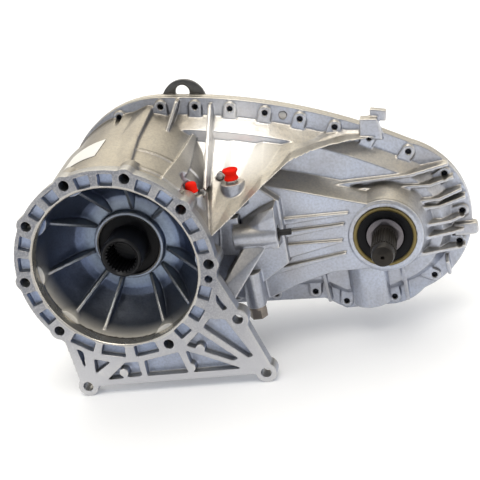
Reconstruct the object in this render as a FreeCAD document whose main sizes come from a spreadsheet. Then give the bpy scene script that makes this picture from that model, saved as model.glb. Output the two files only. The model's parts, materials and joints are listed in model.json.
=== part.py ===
"""Chain-drive transfer case for a four-wheel-drive truck, in millimetres.

The origin is the centre of the round mounting flange, on its front face.  The input and rear output
turn about the Y axis, +Y runs to the rear, +X runs towards the front output and +Z is up.
"""
import FreeCAD, Part
import Sketcher
import math
import os
from FreeCAD import Placement, Rotation, Vector
from types import SimpleNamespace

os.makedirs("parts", exist_ok=True)
doc = FreeCAD.newDocument("transfer_case")
sheet = doc.addObject("Spreadsheet::Sheet", "dim")

DRIVING_SIZES = [
    # round flange to the gearbox, and the bell behind it
    ("flange_bolt_radius", 99.0),
    ("flange_hole_radius", 5.3),
    ("flange_rim_radius", 106.5),
    ("flange_boss_radius", 10.5),
    ("flange_thickness", 14.0),
    ("first_hole_angle", -3.4),
    ("hole_step_angle", 37.33),
    ("stepped_hole_count", 7),
    ("lower_hole_angle", 293.6),
    ("dowel_hole_angle", 347.1),
    ("dowel_hole_radius", 4.0),
    ("pocket_depth", 8.0),
    ("pocket_inner_radius", 89.8),
    ("pocket_outer_radius", 102.2),
    ("pocket_sweep", 9.0),
    ("mouth_radius", 86.8),
    ("mouth_depth", 12.0),
    ("bowl_depth", 70.0),
    ("bowl_floor_radius", 54.0),
    ("hub_front", 60.6),
    ("hub_radius", 38.0),
    ("hub_bore_radius", 33.0),
    ("drum_radius", 86.0),
    # bracket below the flange
    ("ear_spacing", 195.3),
    ("ear_centre_x", 38.55),
    ("ear_drop", 133.0),
    ("ear_radius", 11.2),
    ("ear_hole_radius", 5.3),
    ("ear_thickness", 16.7),
    ("upper_ear_x", 117.3),
    ("upper_ear_drop", 69.3),
    ("web_pocket_depth", 9.0),
    # split case
    ("output_x", 270.0),
    ("output_drop", 25.5),
    ("end_radius", 90.0),
    ("left_radius", 100.0),
    ("shoulder_x", 41.0),
    ("shoulder_height", 141.0),
    ("top_bulge", 15.5),
    ("rim_front", 123.0),
    ("parting", 130.0),
    ("rear_rim_thickness", 8.0),
    ("case_wall", 6.0),
    ("rim_width", 18.0),
    ("wall_front", 106.0),
    ("wall_slope_run", 13.0),
    ("rear_wall", 195.0),
    ("bolt_inset", 10.0),
    ("bolt_radius", 3.0),
    ("bolt_hole_radius", 3.1),
    ("bolt_boss_radius", 7.0),
    ("bolt_boss_height", 3.0),
    ("bolt_head_width", 10.0),
    ("bolt_head_height", 5.5),
    # front output
    ("output_face", 74.6),
    ("output_boss_radius", 37.2),
    ("seal_seat_radius", 32.5),
    ("seal_depth", 8.0),
    ("output_bearing_radius", 36.0),
    ("output_bearing_width", 18.0),
    ("output_journal_radius", 17.0),
    ("output_spline_radius", 13.0),
    ("output_tip", 19.0),
    # input, planetary set and main shaft
    ("nose_front", 27.0),
    ("nose_radius", 22.0),
    ("input_bearing_radius", 40.0),
    ("input_bearing_bore", 25.0),
    ("input_bearing_front", 73.0),
    ("input_bearing_width", 16.0),
    ("snap_ring_width", 2.0),
    ("carrier_front", 93.5),
    ("gear_module", 2.0),
    ("sun_teeth", 36),
    ("planet_teeth", 12),
    ("planet_count", 4),
    ("gear_front", 98.0),
    ("gear_width", 20.0),
    ("annulus_radius", 75.9),
    ("annulus_front", 96.0),
    ("annulus_width", 24.0),
    ("planet_pin_radius", 5.0),
    ("dog_count", 16),
    ("dog_inner_radius", 26.0),
    ("dog_outer_radius", 29.0),
    ("main_shaft_radius", 17.0),
    ("tail_radius", 16.0),
    ("tail_end", 276.0),
    ("range_travel", 13.0),
    # chain drive
    ("sprocket_teeth", 32),
    ("chain_pitch", 9.685),
    ("chain_links", 88),
    ("chain_front", 160.0),
    ("chain_width", 22.0),
    # shift gear
    ("rail_x", 62.0),
    ("rail_z", 74.0),
    ("rail_radius", 7.0),
    ("rail_end", 210.0),
    ("shift_socket", 104.0),
    ("cam_x", 96.0),
    ("cam_z", 80.0),
    ("cam_radius", 15.0),
    ("cam_shaft_radius", 8.0),
    ("shift_turn", 100.0),
    # running and seating clearances, on the radius
    ("running_gap", 0.04),
    ("seat_gap", 0.02),
    ("dog_gap", 0.3),
]


class Size:
    """A number together with the sheet expression that it comes from."""

    def __init__(self, number, text):
        self.number = float(number)
        self.text = text

    def __float__(self):
        return self.number

    def __add__(self, other):
        other = as_size(other)
        return Size(self.number + other.number, f"({self.text} + {other.text})")

    def __sub__(self, other):
        other = as_size(other)
        return Size(self.number - other.number, f"({self.text} - {other.text})")

    def __mul__(self, other):
        other = as_size(other)
        return Size(self.number * other.number, f"({self.text} * {other.text})")

    def __truediv__(self, other):
        other = as_size(other)
        return Size(self.number / other.number, f"({self.text} / {other.text})")

    def __radd__(self, other):
        return as_size(other) + self

    def __rsub__(self, other):
        return as_size(other) - self

    def __rmul__(self, other):
        return as_size(other) * self

    def __neg__(self):
        return Size(-self.number, f"(-1 * {self.text})")


def as_size(value):
    if isinstance(value, Size):
        return value
    return Size(value, f"({float(value):.6f})")


for row, (alias, value) in enumerate(DRIVING_SIZES, start=1):
    sheet.set(f"A{row}", alias)
    sheet.set(f"B{row}", str(value))
    sheet.setAlias(f"B{row}", alias)
doc.recompute()
d = SimpleNamespace(**{alias: Size(sheet.get(alias), f"dim.{alias}") for alias, _ in DRIVING_SIZES})

TO_REAR = Rotation(Vector(1, 0, 0), -90)
TO_RIGHT = Rotation(Vector(0, 1, 0), 90)
UPWARD = Rotation()
REAR = Vector(0, 1, 0)


# Building blocks: each makes one object of the document and binds its sizes to the sheet


def bind(item, **sizes):
    for name, value in sizes.items():
        item.setExpression(name, as_size(value).text)
    return item


def seat(item, x, y, z, rotation):
    item.Placement = Placement(Vector(float(x), float(y), float(z)), rotation)
    for axis, value in (("x", x), ("y", y), ("z", z)):
        item.setExpression(f"Placement.Base.{axis}", as_size(value).text)
    return item


def drum(name, radius, start, length, x=0, z=0):
    """Round bar along the shafts."""
    item = bind(doc.addObject("Part::Cylinder", name), Radius=radius, Height=length)
    return seat(item, x, start, z, TO_REAR)


def cross_bar(name, radius, x, length, y, z):
    """Round bar across the case."""
    item = bind(doc.addObject("Part::Cylinder", name), Radius=radius, Height=length)
    return seat(item, x, y, z, TO_RIGHT)


def post(name, radius, x, y, z, length):
    """Upright round bar."""
    item = bind(doc.addObject("Part::Cylinder", name), Radius=radius, Height=length)
    return seat(item, x, y, z, UPWARD)


def cone(name, front_radius, rear_radius, start, length, x=0, z=0):
    item = doc.addObject("Part::Cone", name)
    bind(item, Radius1=front_radius, Radius2=rear_radius, Height=length)
    return seat(item, x, start, z, TO_REAR)


def block(name, x, y, z, length, width, height):
    item = bind(doc.addObject("Part::Box", name), Length=length, Width=width, Height=height)
    return seat(item, x, y, z, UPWARD)


def hexagon(name, across_flats, start, length, x, z, rotation=TO_REAR):
    item = doc.addObject("Part::Prism", name)
    item.Polygon = 6
    bind(item, Circumradius=across_flats / math.sqrt(3), Height=length)
    return seat(item, x, start, z, rotation)


def polygon(name, corners):
    """Closed flat outline through (x, y, z) corners."""
    item = doc.addObject("Part::Polygon", name)
    item.Nodes = [Vector(*(float(value) for value in corner)) for corner in corners]
    item.Close = True
    return item


def slab(name, corners, start, length):
    """Plate with an outline of (x, z) corners, its front face at start."""
    item = doc.addObject("Part::Extrusion", name)
    item.Base = polygon(name + "_outline", [(x, start, z) for x, z in corners])
    item.DirMode = "Custom"
    item.Dir = REAR
    item.Solid = True
    return bind(item, LengthFwd=length)


def rib(name, first, last, thickness, root):
    """Upright cast rib: its crest runs between two (x, y, z) points, and it reaches back to root."""
    a = Vector(*(float(value) for value in first))
    b = Vector(*(float(value) for value in last))
    along = Vector(b.x - a.x, 0, b.z - a.z).normalize()
    item = doc.addObject("Part::Extrusion", name)
    item.Base = polygon(name + "_side", [a, b, (b.x, root, b.z), (a.x, root, a.z)])
    item.DirMode = "Custom"
    item.Dir = along.cross(REAR)
    item.Solid = True
    item.Symmetric = True
    return bind(item, LengthFwd=thickness)


def loft(name, sections):
    """Straight-sided skin through flat outlines of (x, y, z) corners."""
    item = doc.addObject("Part::Loft", name)
    item.Sections = [polygon(f"{name}_{i}", corners) for i, corners in enumerate(sections)]
    item.Solid = True
    item.Ruled = True
    return item


def faceted_skin(name, sections):
    """Solid through closed sections of (x, y, z) corners, with flat three-sided faces."""
    rings = [[Vector(*(float(value) for value in corner)) for corner in corners] for corners in sections]
    faces = []
    for ring in (rings[0][::-1], rings[-1]):
        faces.append(Part.Face(Part.makePolygon(ring + ring[:1])))
    for near, far in zip(rings, rings[1:]):
        for i in range(len(near)):
            k = (i + 1) % len(near)
            for corners in ((near[i], near[k], far[k]), (near[i], far[k], far[i])):
                faces.append(Part.Face(Part.makePolygon([*corners, corners[0]])))
    solid = Part.makeSolid(Part.makeShell(faces))
    if solid.Volume < 0:
        solid.reverse()
    return ready_shape(name, solid)


def round_loft(name, circles):
    """Straight-sided skin through circles given as (x, y, z, radius)."""
    rings = []
    for i, (x, y, z, radius) in enumerate(circles):
        ring = bind(doc.addObject("Part::Circle", f"{name}_{i}"), Radius=radius)
        rings.append(seat(ring, x, y, z, TO_REAR))
    item = doc.addObject("Part::Loft", name)
    item.Sections = rings
    item.Solid = True
    item.Ruled = True
    return item


def fuse(name, pieces):
    item = doc.addObject("Part::MultiFuse", name)
    item.Shapes = pieces
    return item


def cut(name, base, tools):
    item = doc.addObject("Part::Cut", name)
    item.Base = base
    item.Tool = tools[0] if len(tools) == 1 else fuse(name + "_tools", tools)
    return item


def ready_shape(name, shape):
    item = doc.addObject("Part::Feature", name)
    item.Shape = shape
    return item


def turned(name, profile, x=0, z=0):
    """Turned piece along the shafts, from a closed profile of (radius, y) corners."""
    body = doc.addObject("PartDesign::Body", name)
    plane = next(f for f in body.Origin.OriginFeatures if f.Role == "XY_Plane")
    sketch = body.newObject("Sketcher::SketchObject", name + "_profile")
    sketch.AttachmentSupport = [(plane, "")]
    sketch.MapMode = "FlatFace"
    points = [Vector(float(r), float(y), 0) for r, y in profile]
    for i, point in enumerate(points):
        sketch.addGeometry(Part.LineSegment(point, points[(i + 1) % len(points)]))
    for i, (r, y) in enumerate(profile):
        sketch.addConstraint(Sketcher.Constraint("Coincident", i, 2, (i + 1) % len(points), 1))
        for kind, value in (("DistanceX", r), ("DistanceY", y)):
            if float(value) == 0:
                axis = -2 if kind == "DistanceX" else -1
                sketch.addConstraint(Sketcher.Constraint("PointOnObject", i, 1, axis))
                continue
            index = sketch.addConstraint(Sketcher.Constraint(kind, -1, 1, i, 1, float(value)))
            sketch.setExpression(f"Constraints[{index}]", as_size(value).text)
    turn = body.newObject("PartDesign::Revolution", name + "_turn")
    turn.Profile = sketch
    turn.ReferenceAxis = (sketch, ["V_Axis"])
    turn.Angle = 360
    body.Tip = turn
    return seat(body, x, 0, z, UPWARD)


def ring_profile(inner, outer, start, end):
    return [(inner, start), (outer, start), (outer, end), (inner, end)]


def polar(radius, degrees, x=0, z=0):
    angle = math.radians(float(degrees))
    return float(x) + float(radius) * math.cos(angle), float(z) + float(radius) * math.sin(angle)


def solid_of(wire, length):
    return Part.Face(wire).extrude(Vector(0, float(length), 0))


def toothed_wire(count, root, tip, root_share, tip_share, y, turn=0.0):
    """Closed outline of straight-sided teeth; the shares are tooth widths over the pitch angle."""
    pitch = 2 * math.pi / count
    corners = []
    for tooth in range(count):
        middle = tooth * pitch + turn
        for radius, side in ((root, -root_share), (tip, -tip_share), (tip, tip_share), (root, root_share)):
            angle = middle + side * pitch / 2
            corners.append(Vector(radius * math.cos(angle), float(y), radius * math.sin(angle)))
    return Part.makePolygon(corners + corners[:1])


nodes = {}


def keep(name, item):
    item.Label = name
    nodes[name] = item
    return item


output_z = -d.output_drop
# seats of the two capped ports in the valley of the bell: (x, y, z)
low_port = (86.8, 38.0, 56.5)
high_port = (124.5, 60.0, 57.8)
sensor_y = 203.0
screw_seats = [(95.0, 50.0, 54.0), (111.0, 71.0, 63.0)]
bearing_seat = d.output_face + d.seal_depth + 2
output_snap = bearing_seat + d.output_bearing_width
input_snap = d.input_bearing_front + d.input_bearing_width
rear_rim = d.parting + d.rear_rim_thickness
flange_holes = [d.first_hole_angle + i * d.hole_step_angle for i in range(int(float(d.stepped_hole_count)))]
flange_holes.append(d.lower_hole_angle)


# Outline of the split case, the same for both halves
# Ends and middles of its arcs, clockwise from the lower left seen from the front


def case_corners():
    r, end = float(d.left_radius), float(d.end_radius)
    ox, oz = float(d.output_x), float(output_z)
    shoulder = Vector(float(d.shoulder_x), 0, float(d.shoulder_height))
    nose_top = Vector(ox + end * math.cos(math.radians(67)), 0, oz + end * math.sin(math.radians(67)))
    nose_low = Vector(ox + end * math.cos(math.radians(-70)), 0, oz + end * math.sin(math.radians(-70)))
    slope = (nose_top - shoulder).normalize()
    crown = (shoulder + nose_top) * 0.5 + Vector(-slope.z, 0, slope.x) * float(d.top_bulge)
    low_left = Vector(*[polar(r, 230)[0], 0, polar(r, 230)[1]])
    high_left = Vector(*[polar(r, 130)[0], 0, polar(r, 130)[1]])
    return [
        low_left, Vector(-r, 0, 0),
        high_left, Vector((high_left.x + shoulder.x) / 2 - 11, 0, (high_left.z + shoulder.z) / 2 + 15),
        shoulder, crown,
        nose_top, Vector(ox + end, 0, oz),
        nose_low, Vector(ox + 18, 0, oz - end - 4.5),
        Vector(ox - 2, 0, oz - end - 10.5), None,
        Vector(ox - 58, 0, oz - end - 10.5), None,
        Vector(ox - 80, 0, oz - end + 4), None,
        Vector(60, 0, -r - 6), Vector(0, 0, -r - 1),
    ]


def case_outline(inset, y):
    """Closed wire of the case outline, moved inwards by inset."""
    corners = case_corners()
    solid_points = [(i, p) for i, p in enumerate(corners) if p is not None]
    moved = {}
    for k, (i, point) in enumerate(solid_points):
        before = solid_points[k - 1][1]
        after = solid_points[(k + 1) % len(solid_points)][1]
        inward = (after - before).normalize().cross(REAR)
        shifted = point - inward * float(inset)
        moved[i] = Vector(shifted.x, float(y), shifted.z)
    edges = []
    for i in range(0, len(corners), 2):
        start, end = moved[i], moved[(i + 2) % len(corners)]
        if corners[i + 1] is None:
            edges.append(Part.LineSegment(start, end).toShape())
        else:
            edges.append(Part.Arc(start, moved[i + 1], end).toShape())
    return Part.Wire(edges)


# Places of the joint bolts: (side of the outline, share of that side)
BOLT_PLACES = [(0, 0.12), (0, 0.5), (0, 0.88), (1, 0.3), (1, 0.67)]
BOLT_PLACES += [(2, 0.03 + 0.137 * i) for i in range(7)]
BOLT_PLACES += [(3, 0.015), (3, 0.24), (3, 0.47), (3, 0.646), (3, 0.888)]
BOLT_PLACES += [(5, 0.0), (5, 1.0), (7, 0.08), (7, 0.42), (7, 0.76), (8, 0.25)]


def bolt_points():
    """(x, z, inward direction) of each joint bolt."""
    edges = case_outline(d.bolt_inset, 0).Edges
    deeper = case_outline(d.bolt_inset + 1, 0).Edges
    points = []
    for side, share in BOLT_PLACES:
        spots = []
        for edge in (edges[side], deeper[side]):
            low, high = edge.ParameterRange
            spots.append(edge.valueAt(low + (high - low) * share))
        points.append((spots[0].x, spots[0].z, (spots[1] - spots[0]).normalize()))
    return points


def dowel_points():
    """(x, z) of the two dowels between the case halves, midway between joint bolts."""
    edges = case_outline(d.bolt_inset, 0).Edges
    points = []
    for side, share in ((2, 0.51), (8, 0.62)):
        low, high = edges[side].ParameterRange
        spot = edges[side].valueAt(low + (high - low) * share)
        points.append((spot.x, spot.z))
    return points


def outline_skin(name, front_inset, front, rear_inset, rear):
    """Tapering housing wall between two insets of the case outline."""
    rings = [case_outline(front_inset, front), case_outline(rear_inset, rear)]
    return ready_shape(name, Part.makeLoft(rings, True, True))


# Front case half: round flange, bell, chain housing and bracket in one casting


def flange_and_bell():
    forms = [
        drum("flange_disc", d.flange_rim_radius, 0, d.flange_thickness),
        cone("bell_wall", 101, d.drum_radius, d.flange_thickness - 2, 62),
        drum("planetary_drum", d.drum_radius, 70, d.parting - 70),
        round_loft("upper_cone", [(0, d.flange_thickness - 2, 0, 101), (18.7, 124, 40.5, 88)]),
        round_loft("left_shoulder", [(0, d.flange_thickness - 2, 0, 101), (-2, 124, 9, 101)]),
    ]
    for i, angle in enumerate(flange_holes):
        x, z = polar(d.flange_bolt_radius, angle)
        forms.append(drum(f"flange_boss_{i}", d.flange_boss_radius, 0, 30, x, z))
    return forms


def chain_housing():
    ox, oz = d.output_x, output_z
    slope_inset = d.rim_width + d.wall_slope_run
    forms = [
        ready_shape("front_rim", solid_of(case_outline(0, d.rim_front), d.parting - d.rim_front)),
        outline_skin("front_wall", slope_inset, d.wall_front, d.rim_width, d.rim_front + 1),
        cone("output_cone", 41, 50, d.output_face + 6, d.wall_front - d.output_face - 5, ox, oz),
        drum("output_boss", d.output_boss_radius + 3, d.output_face + 1.5, 40, ox, oz),
        drum("output_ring", d.output_boss_radius, d.output_face, 10, ox, oz),
    ]
    snout_face = d.output_face + 1.5
    front = [(112, 44), (152, 45), (190, 33), (ox - 12, 11), (ox + 8, 13), (ox + 30, -6),
             (ox + 26, -52), (ox - 22, -60), (ox - 60, -60), (170, -71), (128, -88), (112, -88)]
    rear = [(112, 54), (154, 55), (194, 43), (ox - 8, 20), (ox + 12, 19), (ox + 35, -3),
            (ox + 31, -57), (ox - 24, -72), (ox - 60, -72), (168, -83), (126, -98), (112, -98)]
    forms.append(loft("snout", [[(x, snout_face, z) for x, z in front],
                                [(x, d.wall_front + 2, z) for x, z in rear]]))
    forms.append(post("lower_boss", 21, ox - 26, 108, oz - 86.5, 50))
    return forms


def shoulder_ridge():
    """Wall that climbs from the flange's right side to the top of the case, with the valley behind it."""
    # station: x, crest depth, crest height, drop of the valley behind the crest
    crest = [(70, 14, -2), (103, 14, 17), (123, 25, 30), (155, 45, 52), (184, 68, 69), (208, 84, 73),
             (241, 99, 74), (278, 114, 70)]
    sections = []
    for x, y, z in crest:
        rim = max(125 - 0.27 * (x - 37), z + 7)
        valley_depth = min(y + 22, 119)
        sections.append([(x, y, z), (x, valley_depth, z + 0.2 * (rim - z)), (x, 124, rim), (x, 124, z - 6)])
    return [faceted_skin("ridge", sections)]


def bolt_bosses():
    forms = []
    face = d.rim_front - d.bolt_boss_height
    for i, (x, z, inward) in enumerate(bolt_points()):
        forms.append(drum(f"bolt_boss_{i}", d.bolt_boss_radius, face, d.parting - face, x, z))
        end = Vector(x, 0, z) + inward * 13
        forms.append(rib(f"bolt_boss_leg_{i}", (x, face, z), (end.x, face, end.z),
                         d.bolt_boss_radius * 2, d.rim_front + 1))
    return forms


def housing_ribs():
    ox, oz = float(d.output_x), float(output_z)
    forms = []
    # ribs from the output boss to the rim, each through three crest points (x, y, z)
    right = [
        ((206, 96, 28), (300, 101, 28), (341, 112, 32)), ((241, 97, 21), (320, 103, 14), (345, 112, 17)),
        ((293, 94, 0), (329, 103, -2), (352, 112, 3)), ((300, 90, -6), (328, 102, -10), (355, 112, -6)),
        ((305, 83, -23), (337, 103, -28), (352, 112, -26)),
        ((305, 83, -37), (340, 104, -41), (350, 112, -42)),
        ((297, 83, -55), (328, 103, -60), (350, 112, -61)),
    ]
    for i, (near, middle, far) in enumerate(right):
        forms.append(rib(f"end_rib_{i}", near, middle, 3.6, d.rim_front + 1))
        forms.append(rib(f"end_rib_tip_{i}", middle, far, 3.6, d.rim_front + 1))
    # long ledge across the upper wall
    forms.append(rib("upper_rib", (157, 90, 47), (206, 96, 28), 5, 112))
    # wedge ribs beside the output boss, pointed at the boss
    wedges = [
        [(150, 7), (150, -1), (236, 4), (236, 6)],
        [(150, -8), (150, -16), (230, -8), (230, -6)],
        [(146, -22), (136, -44), (226, -26), (226, -24)],
        [(138, -50), (138, -57), (228, -40), (228, -38)],
    ]
    for i, corners in enumerate(wedges):
        forms.append(slab(f"wedge_rib_{i}", corners, d.output_face - 3, 8))
    # upright ribs on the lower wall
    for i, (x, top, low) in enumerate(((196, -70, -112), (281, -62, -118), (329, -72, -92))):
        forms.append(rib(f"lower_rib_{i}", (x, 100, top), (x + 1, 112, low), 4, d.rim_front + 1))
    # fins and wedges on the top of the bell
    forms.append(rib("tall_fin", (103, 116, 127), (98, 44, 57), 4, 126))
    forms.append(rib("short_fin", (69, 114, 136), (52, 84, 97), 4, 126))
    # broad buttress at the left, with a crisp right edge, and the wedge that narrows towards the rim
    forms.append(faceted_skin("left_buttress", [
        [(12, 15, 99.5), (29, 15, 101), (34, 15, 98.5), (34, 15, 88), (12, 15, 88)],
        [(10, 69, 114), (29, 69, 117), (34, 69, 115.5), (34, 69, 100), (10, 69, 100)],
        [(10, 122, 125), (34, 122, 133), (40, 122, 132), (40, 122, 115), (10, 122, 115)]]))
    forms.append(faceted_skin("thick_wedge", [
        [(66, 15, 87), (82, 15, 71), (70, 15, 60), (55, 15, 74)],
        [(74, 60, 92), (85, 60, 80), (74, 60, 70), (63, 60, 80)],
        [(83, 115, 103), (86, 115, 100), (76, 115, 86), (72, 115, 89)]]))
    # raised bands around the top of the bell: depth, then the angles where they start and end
    for i, (y, low, high) in enumerate(((51, 50, 73), (24, 51, 69), (60.5, 24, 42))):
        share = (y - 12) / 112
        reach = 101 - 13 * share + 1.6
        corners = []
        outer_turns = [low + (high - low) * k / 4 for k in range(5)]
        for radius, turns in ((reach - 8, (high, low)), (reach, outer_turns)):
            for angle in turns:
                x, z = polar(radius, angle)
                corners.append((18.7 * share + x, 40.5 * share + z))
        forms.append(slab(f"bell_band_{i}", corners, y, 4.5))
    return forms


def side_bosses():
    """Cross boss with its brace, drain boss, port pads and the small lugs on the rim."""
    ox, oz = d.output_x, output_z
    forms = [
        cross_bar("cross_boss", 13, 118, 46, 52, 0),
        faceted_skin("cross_boss_hood", [
            [(126, 62, -12), (126, 50, -12), (126, 50, 6), (126, 62, 14), (126, 78, 14), (126, 78, -12)],
            [(148, 58, -14), (148, 42, -12), (148, 42, 16), (148, 48, 25), (148, 78, 27), (148, 78, -14)],
            [(165, 58, -15), (165, 41, -13), (165, 41, 22), (165, 44, 31), (165, 78, 33), (165, 78, -15)]]),
        faceted_skin("brace", [
            [(100, 16, -44), (112, 16, -58), (112, 90, -58), (100, 90, -44)],
            [(130, 43, -6), (152, 43, -10), (152, 90, -10), (130, 90, -6)]]),
        slab("side_pad", [(94, 18), (125, 21), (120, -22), (98, -18)], 54, 60),
        slab("flank", [(88, 30), (150, 46), (168, 30), (168, -40), (136, -60), (137, -82), (88, -70)],
             64, 60),
        post("drain_boss", 10.5, 126, 62, -84, 40),
        slab("top_lug", [(257, 92), (275, 90), (278, 67), (255, 70)], 112, 14),
        slab("top_lug_back", [(268, 99), (285, 95), (283, 84), (267, 87)], 121, 8),
        slab("end_lug", [(340, -37), (363, -37), (365, -40), (365, -47), (362, -50), (340, -50)], 116, 12),
        post("port_pad_low", 11, *low_port[:2], low_port[2] - 16, 16),
        post("port_pad_high", 12, *high_port[:2], high_port[2] - 26, 26),
    ]
    return forms


def bracket():
    """Flat web below the flange with two level ears and a third at the right."""
    left = (float(d.ear_centre_x) - float(d.ear_spacing) / 2, -float(d.ear_drop))
    right = (float(d.ear_centre_x) + float(d.ear_spacing) / 2, -float(d.ear_drop))
    upper = (float(d.upper_ear_x), -float(d.upper_ear_drop))
    r = float(d.ear_radius)
    web = [(-74, -64), (left[0] - r * 0.7, left[1] + r * 0.6), (left[0] + r, left[1] - r * 0.05),
           (right[0] - r, right[1] - r * 0.05), (right[0] + r * 0.6, right[1] + r * 0.7),
           (upper[0] + r * 0.8, upper[1] - r * 0.6), (104, -20), (60, -60)]
    forms = [slab("bracket_web", web, 0, d.flange_thickness)]
    for i, (x, z) in enumerate((left, right, upper)):
        forms.append(drum(f"ear_{i}", d.ear_radius, 0, d.ear_thickness, x, z))
    pockets = [
        [(-62, -84), (-55, -90), (-57, -116)],
        [(-45, -101), (-28, -106), (-47, -118)],
        [(-12, -108), (2, -108), (3, -125), (-36, -127)],
        [(9, -108), (48, -101), (54, -126), (9, -126)],
        [(56, -100), (72, -107), (112, -126), (60, -126)],
        [(58, -94), (74, -80), (110, -114), (104, -116)],
        [(80, -75), (88, -66), (104, -68), (110, -80), (126, -112), (121, -114)],
        [(100, -38), (109, -56), (104, -58), (99, -48)],
    ]
    cuts = [slab(f"web_pocket_{i}", corners, -1, d.web_pocket_depth + 1)
            for i, corners in enumerate(pockets)]
    pads = [(-16, -120), (58, -120), (72, -99)]
    studs = [drum(f"web_pad_{i}", 5, 0, d.flange_thickness, x, z) for i, (x, z) in enumerate(pads)]
    holes = [drum(f"ear_hole_{i}", d.ear_hole_radius, -1, d.ear_thickness + 2, x, z)
             for i, (x, z) in enumerate((left, right, upper))]
    return forms, cuts, studs, holes


def flange_pockets():
    """Lightening pockets, two between each pair of flange holes."""
    sweep = float(d.pocket_sweep)
    middles = []
    for angle in flange_holes[:-2]:
        middle = float(angle) + float(d.hole_step_angle) / 2
        middles += [(middle - 7.1, sweep), (middle + 7.1, sweep)]
    middles += [(237, sweep + 6), (257, sweep + 6), (278.5, sweep + 6), (306.8, sweep), (322.4, sweep),
                (337.6, sweep)]
    inner, outer = float(d.pocket_inner_radius), float(d.pocket_outer_radius)
    tools = []
    for i, (middle, width) in enumerate(middles):
        half = width / 2
        corners = [polar(radius, middle + side * half)
                   for radius, side in ((inner, -1), (outer, -1), (outer, 1), (inner, 1))]
        tools.append(slab(f"flange_pocket_{i}", corners, -1, d.pocket_depth + 1))
    return tools


def front_case():
    web, web_cuts, web_studs, ear_holes = bracket()
    plate = cut("bracket_plate", fuse("bracket_forms", web), web_cuts)
    shell = fuse("front_forms", [*flange_and_bell(), *chain_housing(), *shoulder_ridge(), *bolt_bosses(),
                                 *housing_ribs(), *side_bosses(), plate, *web_studs])
    bowl = turned("bell_bowl", [(0, -1), (d.mouth_radius + 1.5, -1), (d.mouth_radius + 1.5, 0),
                                (d.mouth_radius, 1.5), (d.mouth_radius, d.mouth_depth), (84.5, 26), (80.5, 39),
                                (75, 50), (68, 59), (61, 66), (d.bowl_floor_radius, d.bowl_depth),
                                (d.hub_radius, d.bowl_depth), (d.hub_radius, d.hub_front), (0, d.hub_front)])
    # the backs of the flange bosses bulge into the bell behind its mouth
    bulges = []
    for i, angle in enumerate(flange_holes):
        x, z = polar(d.flange_bolt_radius + 3, angle)
        bulges.append(drum(f"boss_bulge_{i}", 20, d.mouth_depth + 2, 50, x, z))
    inner_inset = d.rim_width + d.case_wall
    ox, oz = d.output_x, output_z
    hollows = [
        cut("bell_space", bowl, bulges),
        drum("hub_bore", d.hub_bore_radius, 55, 20),
        drum("input_bearing_seat", d.input_bearing_radius + d.seat_gap, d.input_bearing_front, 30),
        drum("input_ring_groove", d.input_bearing_radius + 2, input_snap, d.snap_ring_width),
        drum("planetary_space", d.annulus_radius - 6, d.carrier_front - 1, 60),
        drum("annulus_seat", d.annulus_radius + d.seat_gap, d.annulus_front, 60),
        drum("annulus_ring_groove", d.annulus_radius + 2, d.annulus_front + d.annulus_width, 2.5),
        outline_skin("chain_space", inner_inset + d.wall_slope_run, d.wall_front + d.case_wall, inner_inset,
                     d.parting + 1),
        drum("seal_seat", d.seal_seat_radius + d.seat_gap, 60, bearing_seat - 60, ox, oz),
        drum("output_bearing_seat", d.output_bearing_radius + d.seat_gap, bearing_seat, 30, ox, oz),
        drum("output_ring_groove", d.output_bearing_radius + 2, output_snap, d.snap_ring_width, ox, oz),
        cone("output_space", 40, 58, output_snap + d.snap_ring_width + 2, 10, ox, oz),
        drum("rail_socket_front", d.rail_radius + d.seat_gap, d.shift_socket, 30, d.rail_x, d.rail_z),
        drum("cam_socket_front", d.cam_shaft_radius + d.running_gap, d.shift_socket, 30, d.cam_x, d.cam_z),
        post("drain_hole", 6.05, 126, 62, -85, 23),
        drum("drain_passage", 4.5, 62, 52, 126, -66),
        cross_bar("cross_bore", 8.5, 158, 12, 52, 0),
        cross_bar("vent_hole", 3.32, 146, 14, 52, 0),
        post("low_recess", 8.6, *low_port, 24),
        post("high_recess", 9.6, *high_port, 18),
        post("low_port_hole", 3.02, *low_port[:2], low_port[2] - 12.5, 14),
        post("high_port_hole", 3.02, *high_port[:2], high_port[2] - 12.5, 14),
        *[drum(f"screw_face_{i}", 5, y - 12, 12, x, z) for i, (x, y, z) in enumerate(screw_seats)],
        *[drum(f"screw_hole_{i}", 2.02, y - 1, 11, x, z) for i, (x, y, z) in enumerate(screw_seats)],
        *[drum(f"dowel_hole_{i}", 4.02, 122, 10, x, z) for i, (x, z) in enumerate(dowel_points())],
        *flange_pockets(), *ear_holes,
    ]
    for i, angle in enumerate(flange_holes):
        x, z = polar(d.flange_bolt_radius, angle)
        hollows.append(drum(f"flange_hole_{i}", d.flange_hole_radius, -1, 32, x, z))
    x, z = polar(98.1, d.dowel_hole_angle)
    hollows.append(drum("flange_dowel_hole", d.dowel_hole_radius, -1, 13, x, z))
    for i, (x, z, _) in enumerate(bolt_points()):
        hollows.append(drum(f"tapped_hole_{i}", d.bolt_hole_radius, 100, 31, x, z))
    hollowed = cut("front_hollowed", shell, hollows)
    inner_ribs = []
    for i, angle in enumerate((186, 222, 246, 292, 318, 345, 40, 75, 110, 145)):
        near, far = polar(d.hub_radius + 2, angle), polar(d.mouth_radius - 2, angle)
        inner_ribs.append(rib(f"bell_rib_{i}", (near[0], 66, near[1]), (far[0], 22, far[1]), 3.5, 76))
    return keep("front_case", fuse("front_case", [hollowed, *inner_ribs]))


# Rear case half: rim, chain housing, fork bulge, bearing housings and tail


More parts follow.
